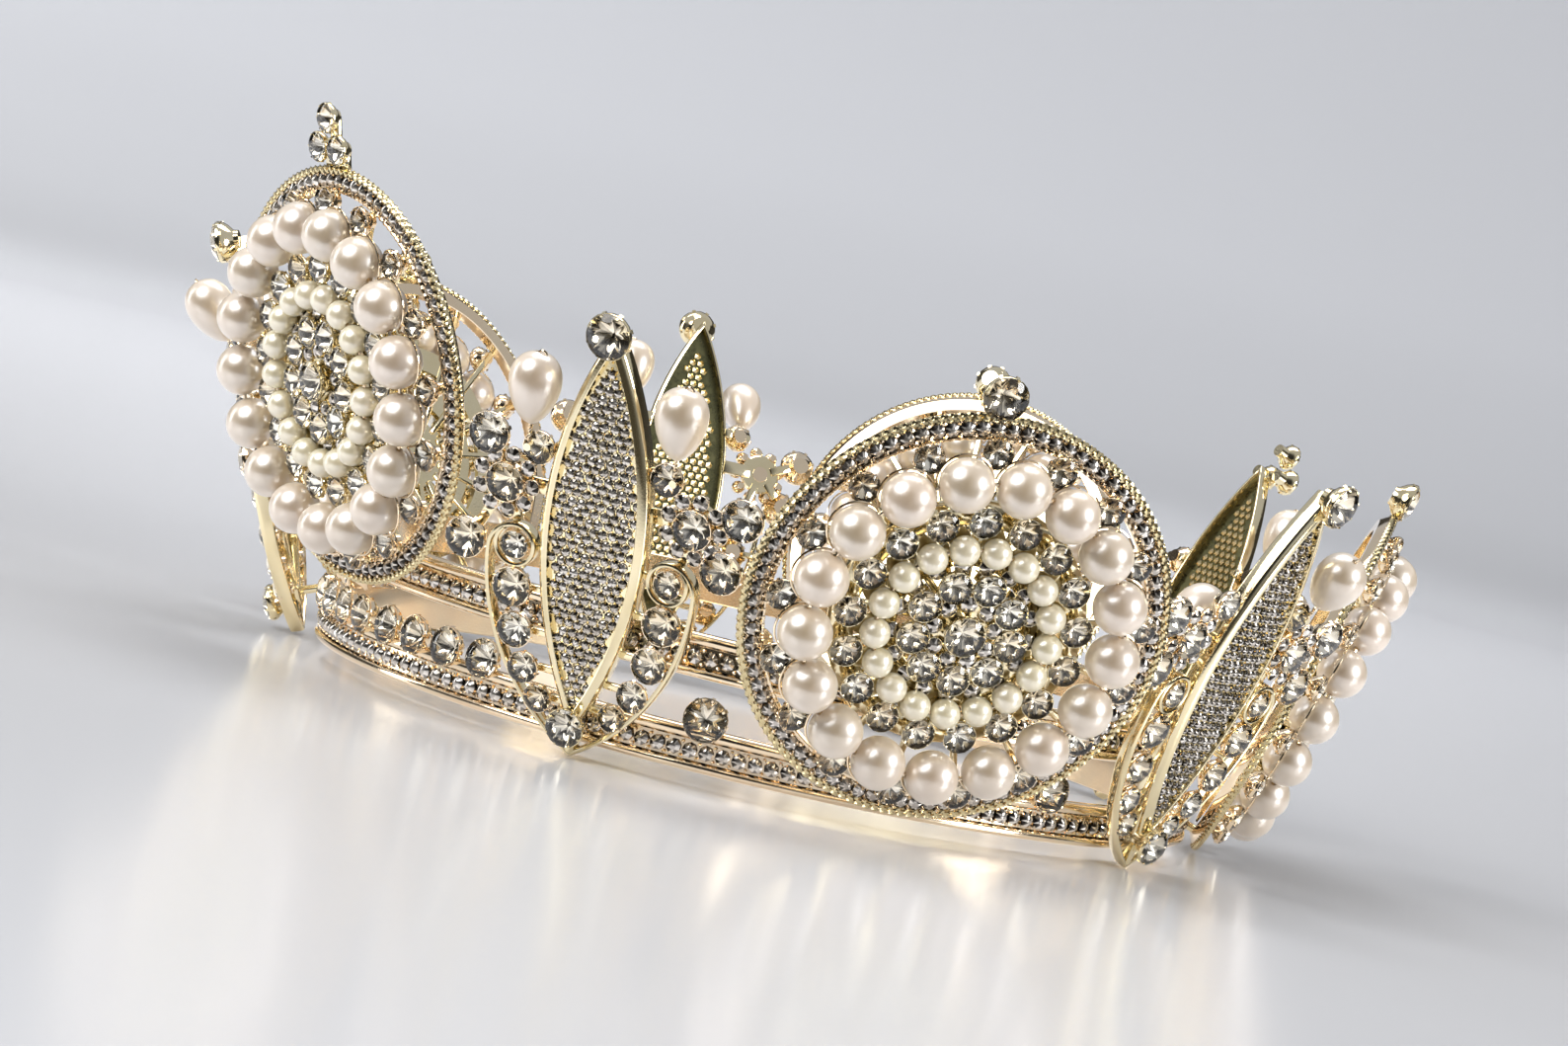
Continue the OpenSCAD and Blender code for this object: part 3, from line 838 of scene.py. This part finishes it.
@functools.cache
def scroll():
    """Both strips: a long arc from the point, round the shoulder and into a loop."""
    bm = bmesh.new()
    wide, drop = 16.5, SHOULDER[1] - SCROLL_TIP
    long = (wide * wide + drop * drop) / (2 * wide)
    start = asin(drop / long)
    half, deep, level = 0.38, 1.2, -3.9
    corners = [
        (half * cos(a), side * (deep - half) + half * sin(a))
        for side, start_at in ((1, 0), (-1, 180)) for a in (radians(start_at + 45 * k) for k in range(5))
    ]
    centre = Vector((wide - long, SHOULDER[1], 0))
    out = Vector((cos(-start), sin(-start), 0))
    verts, edges = joined(bm, [centre + out * (long + x) + Vector((0, 0, level + z)) for x, z in corners])
    section = verts + edges
    for middle, angle, steps in (
        (centre, degrees(start), 20), ((*SHOULDER, 0), 90, 14),
        ((*SCROLL_SEATS[0][:2], 0), 318, 30),
    ):
        section = sweep(bm, section, angle, steps, middle)
    bmesh.ops.holes_fill(bm, edges=bm.edges, sides=10)
    copy = bmesh.ops.duplicate(bm, geom=bm.verts[:] + bm.edges[:] + bm.faces[:])["geom"]
    bmesh.ops.scale(bm, vec=(-1, 1, 1), verts=[v for v in copy if isinstance(v, bmesh.types.BMVert)])
    return Shape(bm, GOLD)


def links(i, side):
    return LINKS_FRONT if (i, side) in ((0, -1), (4, 1)) else LINKS_LOW


def flower(bm, side, rng):
    """Centre stone in a wreath of small ones, on a hollowed plate."""
    x, y, width = FLOWER
    plate = ((0, 0), (3.4, 0), (3.7, 0.3), (3.4, 1), (2.2, 1.05), (1, 0.05), (0, 0.05))
    put(bm, lathe(plate, 32, closed=False), at(side * x, y, CUP_BASE))
    seat(bm, at(side * x, y, LINK_LIFT), width, 1.9, 8, rng.random(), ROSE)
    for k in range(9):
        spot = at(side * x, y) @ round_the_face(k * 40 + 10, 4.25, LINK_LIFT - 0.4)
        small_seat(bm, spot, 2.4, 2, 5, rng, ROSE)


def oval_side(bm, i, side, s, rng):
    """Stones of the scroll, flower, cups and the root of the pear pearl's stem on one side."""
    for x, y, width in SCROLL_SEATS:
        seat(bm, at(side * x, y, LINK_LIFT + 0.2), width, BOWL, 8 if width > 5 else 7, rng.random(), ROSE)
    flower(bm, side, rng)
    x, y, width = UNDER_DROP
    seat(bm, at(side * x, y, LINK_LIFT - 0.1), width, BOWL, 7, rng.random(), ROSE)
    across, up, out, _, _ = STEMS[i][side > 0]
    root, spare = CUP_BASE + 0.4, 0.5
    post = at(side * across, up, min(root, out - spare))
    put(bm, rod(0.6), post @ Matrix.Diagonal((1, 1, abs(out - root) + spare, 1)))
    for x, y in links(i, side):
        put(bm, cup(mm(s.link), LINK_LIFT - CUP_BASE, 8, ROSE), at(side * x, y, LINK_LIFT))


def drop_stem(bm, place, s):
    """Twisted wire that carries a pear-shaped pearl, its end bent over on top of the pearl."""
    high, steps, turns = STEM_LENGTH + mm(s.drop_length) / 2, 60, 7
    strand = bent_wire(0.19, at(0.17, 0, 0), 360 * turns, steps, rise=high / steps)
    for phase in (0, 180):
        put(bm, strand, place @ turned(phase))
    hook = bent_wire(0.18, Matrix(), 165, 10, middle=(0.7, 0, 0), axis=(0, 1, 0))
    put(bm, hook, place @ at(0, 0, high - 0.42))


def tie(bm, a, b, width, base, thick):
    """Flat bar from the cup at one point to the cup at the other; a point is x, y and the bar's start."""
    way = (Vector(b[:2]) - Vector(a[:2])).normalized()
    bar(bm, Vector(a[:2]) + way * a[2], Vector(b[:2]) - way * b[2], width, base, thick)


def oval_web(bm, i):
    """Flat bars behind the stones, from the oval's side walls outwards; none runs under a stone."""
    r, centre = oval_arcs(sizes("ovals"))
    # width, level and thickness of the bars at the scroll's stones and behind the others
    narrow, low, thick = (1.1, -5.4, 1.1), CUP_BASE - 0.2, 0.9
    bar(bm, (0, FOOT + 1), (0, SCROLL_TIP), 1.6, -5.1, 2.4)
    for side in (-1, 1):
        for x, y, stone, *size in (
            *((*spot, *narrow) for spot in SCROLL_SEATS), (*FLOWER, 2.4, low, thick),
            (*UNDER_DROP, 1.6, low, thick),
        ):
            wall = sqrt(r * r - (y - SHIFT) ** 2) - centre - 0.4
            tie(bm, (side * wall, y, 0), (side * x, y, stone * 0.33), *size)
        level = SCROLL_SEATS[1][1]
        bar(bm, (side * 14.1, level), (side * 16.2, level), *narrow)
        start, loop = (side * FLOWER[0], FLOWER[1], 2), SCROLL_SEATS[0]
        tie(bm, start, (side * loop[0], loop[1], 1.4), 1.4, low, thick)
        for x, y in links(i, side):
            tie(bm, start, (side * x, y, 2.1), 1.6, low, thick)


class CROWN_OT_ovals(bpy.types.Operator):
    """Build the pointed ovals with their pave, scrolls, flowers and cups"""

    bl_idname = "crown.ovals"
    bl_label = "Build pointed ovals"

    def execute(self, context):
        s, m = sizes("ovals"), sizes("medallions")
        for i in range(ELEMENTS):
            rng = random.Random(71 + i)
            place = on_oval(i)
            bm = new_piece()
            oval_shell(bm, s)
            pave(bm, s, rng)
            put(bm, scroll())
            oval_web(bm, i)
            for side in (-1, 1):
                oval_side(bm, i, side, s, rng)
                drop_stem(bm, on_stem(i, side), s)
            if i == BACK_OVAL:
                for x, y in cluster(mm(m.crest_small), 0, TIP):
                    put(bm, cup(mm(m.crest_small), 3.4, 7), at(x, y))
            else:
                put(bm, cup(mm(s.tip), 3.5, 8), at(0, TIP))
            put(bm, cup(mm(s.foot), 3.5, 8), at(0, FOOT))
            stays(bm, place, ((0, -17), (0, -28.5)), -3.3)
            fit(bm, f"pointed_oval_{i + 1}", f"oval_frame_{i + 1}", place)
        return {"FINISHED"}


class CROWN_OT_oval_stones(bpy.types.Operator):
    """Build the stones on the ovals' tips and the stones that link them to the medallions"""

    bl_idname = "crown.oval_stones"
    bl_label = "Build oval stones"

    def execute(self, context):
        s, m = sizes("ovals"), sizes("medallions")
        for i in range(ELEMENTS):
            bm = new_piece()
            if i == BACK_OVAL:
                for k, (x, y) in enumerate(cluster(mm(m.crest_small), 0, TIP)):
                    put(bm, brilliant(mm(m.crest_small)), at(x, y) @ turned(13 * k), 0.4 * k)
            else:
                put(bm, brilliant(mm(s.tip)), at(0, TIP), 0.6)
            put(bm, brilliant(mm(s.foot)), at(0, FOOT) @ turned(8), 0.2)
            fit(bm, f"tip_stones_{i + 1}", f"oval_stones_{i + 1}", on_oval(i))
            bm = new_piece()
            for side in (-1, 1):
                for k, (x, y) in enumerate(links(i, side)):
                    spot = at(side * x, y, LINK_LIFT) @ turned(11 * k * side)
                    put(bm, brilliant(mm(s.link)), spot, 0.25 + 0.5 * k)
            fit(bm, f"linking_stones_{i + 1}", f"link_stones_{i + 1}", on_oval(i))
        return {"FINISHED"}


class CROWN_OT_drops(bpy.types.Operator):
    """Build the pear-shaped pearls"""

    bl_idname = "crown.drops"
    bl_label = "Build pear pearls"

    def execute(self, context):
        s = sizes("ovals")
        half, r, steps, hole = mm(s.drop_length) / 2, mm(s.drop_width) / 2, 26, 0.45
        profile = [(0, half - 0.9)]
        for k in range(steps + 1):
            u = cos(pi * k / steps)
            across = r * sqrt(max(0, 1 - u * u)) * (1 + 0.22 * u) / 1.023
            profile.append((max(across, hole), half * u))
        profile.append((0, 0.9 - half))
        drop = lathe(profile, 32, PEARL, closed=False)
        for i in range(ELEMENTS):
            bm = new_piece()
            for side in (-1, 1):
                put(bm, drop, on_stem(i, side) @ at(0, 0, STEM_LENGTH), 0.3 if side > 0 else 0.7)
            fit(bm, f"pear_drops_{i + 1}", f"pear_pearls_{i + 1}", on_oval(i), 60)
        return {"FINISHED"}


# Finishes

COLOUR, VECTOR, NUMBER = "NodeSocketColor", "NodeSocketVector", "NodeSocketFloat"
WHITE = (1, 1, 1, 1)


def effect(name, *inputs):
    """Shader group that gives a colour, a roughness and a height; an input is its name and value."""
    tree = bpy.data.node_groups.new(name, "ShaderNodeTree")
    for label, value in (("Vector", (0, 0, 0)), *inputs):
        kind = COLOUR if value == WHITE else VECTOR if label == "Vector" else NUMBER
        tree.interface.new_socket(name=label, in_out="INPUT", socket_type=kind).default_value = value
    for label, kind in (("Colour", COLOUR), ("Roughness", NUMBER), ("Height", NUMBER)):
        tree.interface.new_socket(name=label, in_out="OUTPUT", socket_type=kind)
    return tree, tree.nodes.new("NodeGroupInput").outputs, tree.nodes.new("NodeGroupOutput").inputs


def give(node, **values):
    """Sets inputs of a node; an underscore stands for a space."""
    for label, value in values.items():
        node.inputs[label.replace("_", " ")].default_value = value


def noise(tree, vector, scale, detail, rough=0.5):
    node = tree.nodes.new("ShaderNodeTexNoise")
    give(node, Scale=scale, Detail=detail, Roughness=rough)
    tree.links.new(vector, node.inputs["Vector"])
    return node.outputs["Fac"]


def feed(tree, source, socket):
    """Links a socket to the output of a node, or sets it to a value."""
    if isinstance(source, bpy.types.NodeSocket):
        tree.links.new(source, socket)
    else:
        socket.default_value = source


def blend(tree, factor, a, b):
    """Mixes two colours."""
    node = tree.nodes.new("ShaderNodeMix")
    node.data_type = "RGBA"
    tree.links.new(factor, node.inputs["Factor"])
    for value, socket in ((a, node.inputs[6]), (b, node.inputs[7])):
        feed(tree, value if isinstance(value, bpy.types.NodeSocket) else (*value, 1), socket)
    return node.outputs[2]


def spread(tree, value, low, high, start=0.3, end=0.7):
    """Maps a value from start..end to low..high."""
    node = tree.nodes.new("ShaderNodeMapRange")
    for source, label in (
        (start, "From Min"), (end, "From Max"), (value, "Value"), (low, "To Min"), (high, "To Max")
    ):
        feed(tree, source, node.inputs[label])
    return node.outputs["Result"]


def plating_effect():
    """Uneven colour, gloss and fine casting marks of plated metal."""
    tree, given, made = effect(
        "Plating", ("Colour", WHITE), ("Thin Colour", WHITE), ("Polish", 0.12), ("Dull", 0.3)
    )
    cloud = spread(tree, noise(tree, given["Vector"], 140, 3), 0, 1)
    tree.links.new(blend(tree, cloud, given["Colour"], given["Thin Colour"]), made["Colour"])
    smear = noise(tree, given["Vector"], 900, 4, 0.6)
    tree.links.new(spread(tree, smear, given["Polish"], given["Dull"]), made["Roughness"])
    tree.links.new(noise(tree, given["Vector"], 2600, 2), made["Height"])
    return tree


def nacre_effect():
    """Soft drifts of colour and gloss in a pearl's coat, and its own shade."""
    tree, given, made = effect("Nacre", ("Own Shade", 0.5), ("Body", WHITE), ("Blush", WHITE))
    drift = noise(tree, given["Vector"], 260, 2)
    add = tree.nodes.new("ShaderNodeMath")
    add.operation = "MULTIPLY_ADD"
    tree.links.new(drift, add.inputs[0])
    add.inputs[1].default_value = 0.8
    tree.links.new(given["Own Shade"], add.inputs[2])
    shade = spread(tree, add.outputs[0], 0, 1, 0.45, 1.35)
    tree.links.new(blend(tree, shade, given["Body"], given["Blush"]), made["Colour"])
    tree.links.new(spread(tree, noise(tree, given["Vector"], 1500, 3), 0.14, 0.2), made["Roughness"])
    tree.links.new(noise(tree, given["Vector"], 700, 3), made["Height"])
    return tree


def start_material(name):
    material = bpy.data.materials.new(name)
    material.use_nodes = True
    return material, material.node_tree, material.node_tree.nodes["Principled BSDF"]


def use(tree, group, **values):
    """A shader group on a piece's own coordinates, with values for its inputs."""
    node = tree.nodes.new("ShaderNodeGroup")
    node.node_tree = group
    give(node, **values)
    place = tree.nodes.new("ShaderNodeTexCoord")
    tree.links.new(place.outputs["Object"], node.inputs["Vector"])
    return node


def relief(tree, shader, height, strength, distance):
    bump = tree.nodes.new("ShaderNodeBump")
    give(bump, Strength=strength, Distance=distance)
    tree.links.new(height, bump.inputs["Height"])
    tree.links.new(bump.outputs["Normal"], shader.inputs["Normal"])


def own(tree, name):
    node = tree.nodes.new("ShaderNodeAttribute")
    node.attribute_name = name
    return node.outputs["Fac"]


def metal(name, plating, main, thin, polish, dull):
    _, tree, shader = start_material(name)
    give(shader, Metallic=1)
    node = use(tree, plating, Colour=(*main, 1), Thin_Colour=(*thin, 1), Polish=polish, Dull=dull)
    tree.links.new(node.outputs["Colour"], shader.inputs["Base Color"])
    tree.links.new(node.outputs["Roughness"], shader.inputs["Roughness"])
    relief(tree, shader, node.outputs["Height"], 0.25, 0.00003)


def pearl_material(name, nacre, body, blush, painted_rim_glow):
    _, tree, shader = start_material(name)
    node = use(tree, nacre, Body=(*body, 1), Blush=(*blush, 1))
    tree.links.new(own(tree, "tint"), node.inputs["Own Shade"])
    # Peach towards the rim by facing: a painted glow at the pearl's edge
    edge = tree.nodes.new("ShaderNodeLayerWeight")
    give(edge, Blend=0.42)
    body = blend(tree, edge.outputs["Facing"], node.outputs["Colour"], painted_rim_glow)
    tree.links.new(body, shader.inputs["Base Color"])
    tree.links.new(node.outputs["Roughness"], shader.inputs["Roughness"])
    give(shader, Coat_Weight=1, Coat_IOR=3.8, Coat_Roughness=0.33)
    relief(tree, shader, node.outputs["Height"], 0.04, 0.0001)


def crystal_material(name):
    _, tree, shader = start_material(name)
    clear = blend(tree, own(tree, "tint"), (1, 0.99, 0.96), (1, 0.97, 0.9))
    tree.links.new(clear, shader.inputs["Base Color"])
    give(shader, Roughness=0, IOR=1.56, Transmission_Weight=1)


def painted_glint_material(name, metallic, roughness, pale, warm):
    """Facets painted from nearly black to a pale or a warm shade by their painted glint, which stands in for
    the light and dark they reflect.
    """
    _, tree, shader = start_material(name)
    give(shader, Metallic=metallic, Roughness=roughness)
    bright = blend(tree, own(tree, "tint"), pale, warm)
    tree.links.new(blend(tree, own(tree, "painted_glint"), (0.03, 0.025, 0.02), bright), shader.inputs["Base Color"])


class CROWN_OT_finishes(bpy.types.Operator):
    """Mix the crown's finishes: golds, the painted shade on the ovals' backs, crystal, foil, small stones and
    pearls
    """

    bl_idname = "crown.finishes"
    bl_label = "Mix finishes"

    def execute(self, context):
        c = sizes("colours")
        plating, nacre = plating_effect(), nacre_effect()
        metal(FINISHES[GOLD], plating, c.gold, (0.87, 0.77, 0.53), 0.05, 0.14)
        metal(FINISHES[ROSE], plating, c.rose, (0.9, 0.76, 0.55), 0.05, 0.14)
        # Darker copy of the gold for the rope and the back bumps: painted shade
        metal(FINISHES[SHADED_GOLD], plating, (0.6, 0.5, 0.28), (0.72, 0.61, 0.37), 0.08, 0.2)
        # Nearly black gold of the back sheet: painted shade
        metal(FINISHES[PAINTED_SHADE], plating, (0.09, 0.09, 0.045), (0.16, 0.15, 0.075), 0.2, 0.4)
        crystal_material(FINISHES[CRYSTAL])
        # Foil and small stones darkened or brightened by their painted glint; the warm foil is partly a
        # painted reflection of the surrounding gold
        painted_glint_material(FINISHES[FOIL], 1, 0.07, (0.96, 0.93, 0.84), (0.96, 0.86, 0.68))
        painted_glint_material(FINISHES[SMALL], 0.8, 0.1, (0.9, 0.85, 0.79), (0.66, 0.6, 0.52))
        pearl_material(FINISHES[PEARL], nacre, c.pearl, (0.52, 0.375, 0.235), (1, 0.85, 0.68))
        pearl_material(FINISHES[CREAM], nacre, c.cream, (0.72, 0.61, 0.39), (0.95, 0.87, 0.62))
        return {"FINISHED"}


# Stage

# Place of the camera in millimetres, the ways it faces, and its lens in pixels of the photo
CAMERA_AT = (536.0, -372.56, 72.7)
CAMERA_RIGHT = (0.54153, 0.80793, 0.23236)
CAMERA_DOWN = (0.17595, 0.16135, -0.97109)
CAMERA_FORWARD = (-0.82206, 0.56675, -0.05479)
FOCAL_PIXELS, FRAME_PIXELS, SENSOR = 4021.6, 1588, 36


def reflected(tree):
    """One where a surface is seen in a reflection or through a stone, else nought."""
    path = tree.nodes.new("ShaderNodeLightPath")
    either = tree.nodes.new("ShaderNodeMath")
    either.operation = "MAXIMUM"
    tree.links.new(path.outputs["Is Glossy Ray"], either.inputs[0])
    tree.links.new(path.outputs["Is Transmission Ray"], either.inputs[1])
    return either.outputs[0]


def floor_material(c):
    """Pale floor; as seen in reflections its colour is painted: bright near the crown and behind it, dark
    towards the camera.
    """
    material, tree, shader = start_material("pale_floor")
    far = tree.nodes.new("ShaderNodeVectorMath")
    far.operation = "DISTANCE"
    painted_pool_at, painted_pool = Vector(CAMERA_FORWARD) * 0.8, (0.93, 0.97)
    far.inputs[1].default_value = painted_pool_at
    tree.links.new(tree.nodes.new("ShaderNodeTexCoord").outputs["Object"], far.inputs[0])
    beyond = spread(tree, far.outputs["Value"], 0, 1, *painted_pool)
    # Painted reflection: the floor's colour in reflected rays, bright near the crown, nearly black towards
    # the camera
    painted_reflection = blend(tree, beyond, (0.85, 0.85, 0.88), (0.05, 0.045, 0.035))
    tree.links.new(blend(tree, reflected(tree), c.floor, painted_reflection), shader.inputs["Base Color"])
    give(shader, Roughness=0.18)
    return material


def lamp(name, spot, target, size, power, tint=(1, 1, 1)):
    light = bpy.data.lights.new(name, "AREA")
    light.shape, light.size, light.size_y = "ELLIPSE", *size
    light.energy, light.color = power, tint
    item = bpy.data.objects.new(name, light)
    item.location = spot
    item.rotation_euler = (Vector(target) - Vector(spot)).to_track_quat("-Z", "Y").to_euler()
    item.visible_camera = False
    bpy.context.scene.collection.objects.link(item)


class CROWN_OT_stage(bpy.types.Operator):
    """Set the camera, the pale floor and the studio lights"""

    bl_idname = "crown.stage"
    bl_label = "Set stage"

    def execute(self, context):
        scene = context.scene
        camera = bpy.data.objects.new("camera", bpy.data.cameras.new("camera"))
        camera.data.sensor_width = SENSOR
        camera.data.lens = FOCAL_PIXELS * SENSOR / FRAME_PIXELS
        camera.data.clip_start, camera.data.clip_end = 0.01, 20
        axes = (Vector(CAMERA_RIGHT), -Vector(CAMERA_DOWN), -Vector(CAMERA_FORWARD))
        camera.matrix_world = at(*(v * MM for v in CAMERA_AT)) @ Matrix(axes).transposed().to_4x4()
        scene.collection.objects.link(camera)
        scene.camera = camera

        self.lay_floor(scene)
        view = Vector(CAMERA_FORWARD)
        side, up = Vector(CAMERA_RIGHT), -Vector(CAMERA_DOWN)
        middle, high = Vector((0, 0, 0.035)), Vector((0, 0, 1))
        lamp("key", middle - view * 0.63 + up * 0.85 - side * 0.5, middle, (0.96, 0.9), 12)
        lamp("overhead", middle + high * 1.3 + view * 0.35, middle, (1.2, 0.7), 9)
        lamp("left", middle - side * 1.1 + high * 0.45 + view * 0.2, middle, (0.2, 0.8), 2)
        lamp("right", middle + side * 0.8 + high * 0.08 - view * 0.42, middle, (0.36, 0.46), 6)
        wall = middle + view * 2 - side * 0.5 + high * 0.3
        above = middle + view * 0.6 - side * 0.5 + high * 1.2
        lamp("backdrop", above, wall, (1, 0.6), 12, (0.97, 0.985, 1))
        scene.world = self.room(up * 0.25 - view * 0.88 - side * 0.4)
        scene.view_settings.view_transform = "Standard"
        return {"FINISHED"}

    def room(self, dark_way):
        """Even light of a pale room, which shows dark one way in reflections."""
        plain, bright, dark, near, far = 0.25, 0.54, 0.03, 0.6, 0.86
        world = bpy.data.worlds.new("studio")
        world.use_nodes = True
        tree = world.node_tree
        give(tree.nodes["Background"], Color=(0.88, 0.9, 0.95, 1))
        towards = tree.nodes.new("ShaderNodeVectorMath")
        towards.operation = "DOT_PRODUCT"
        towards.inputs[1].default_value = dark_way.normalized()
        tree.links.new(tree.nodes.new("ShaderNodeTexCoord").outputs["Generated"], towards.inputs[0])
        shade = spread(tree, towards.outputs["Value"], bright, dark, near, far)
        strength = spread(tree, reflected(tree), plain, shade, 0, 1)
        tree.links.new(strength, tree.nodes["Background"].inputs["Strength"])
        return world

    def lay_floor(self, scene):
        """Round floor that turns up into a wall on the side away from the camera."""
        bm = bmesh.new()
        edge, bend = 1.2, 0.9
        facing = degrees(atan2(CAMERA_FORWARD[1], CAMERA_FORWARD[0]))
        for part, rise in ((220, True), (140, False)):
            points = [(0, 0), (edge, 0)]
            if rise:
                points += [
                    (edge + bend * sin(a), bend - bend * cos(a))
                    for a in (radians(9 * k) for k in range(1, 11))
                ]
            first = facing - 110 if rise else facing + 110
            verts, edges = joined(bm, [turned(first) @ Vector((r, 0, z)) for r, z in points], False)
            sweep(bm, verts + edges, part, part // 5)
        mesh = cleaned(bm, "floor")
        mesh.materials.append(floor_material(sizes("colours")))
        floor = bpy.data.objects.new("floor", mesh)
        scene.collection.objects.link(floor)


class CROWN_PT_panel(bpy.types.Panel):
    bl_idname = "CROWN_PT_panel"
    bl_label = "Round crown"
    bl_space_type = "VIEW_3D"
    bl_region_type = "UI"
    bl_category = "Crown"

    def draw(self, context):
        for kind in GROUPS:
            group = sizes(kind)
            for name in group.bl_rna.properties.keys():
                if name not in ("rna_type", "name"):
                    self.layout.prop(group, name)
        for operator in STEPS:
            self.layout.operator(operator.bl_idname)


GROUPS = {
    "bands": CrownBandSizes,
    "medallions": CrownMedallionSizes,
    "ovals": CrownOvalSizes,
    "colours": CrownColours,
}
STEPS = (
    CROWN_OT_finishes,
    CROWN_OT_stage,
    CROWN_OT_bands,
    CROWN_OT_medallions,
    CROWN_OT_medallion_stones,
    CROWN_OT_pearls,
    CROWN_OT_ovals,
    CROWN_OT_oval_stones,
    CROWN_OT_drops,
)


def register():
    for item in (*GROUPS.values(), *STEPS, CROWN_PT_panel):
        bpy.utils.register_class(item)
    for kind, group in GROUPS.items():
        setattr(bpy.types.Scene, "crown_" + kind, bpy.props.PointerProperty(type=group))


def unregister():
    for kind in GROUPS:
        delattr(bpy.types.Scene, "crown_" + kind)
    for item in reversed((*GROUPS.values(), *STEPS, CROWN_PT_panel)):
        bpy.utils.unregister_class(item)


def main():
    register()
    for operator in STEPS:
        group, name = operator.bl_idname.split(".")
        getattr(getattr(bpy.ops, group), name)()
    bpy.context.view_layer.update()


if __name__ == "__main__":
    main()
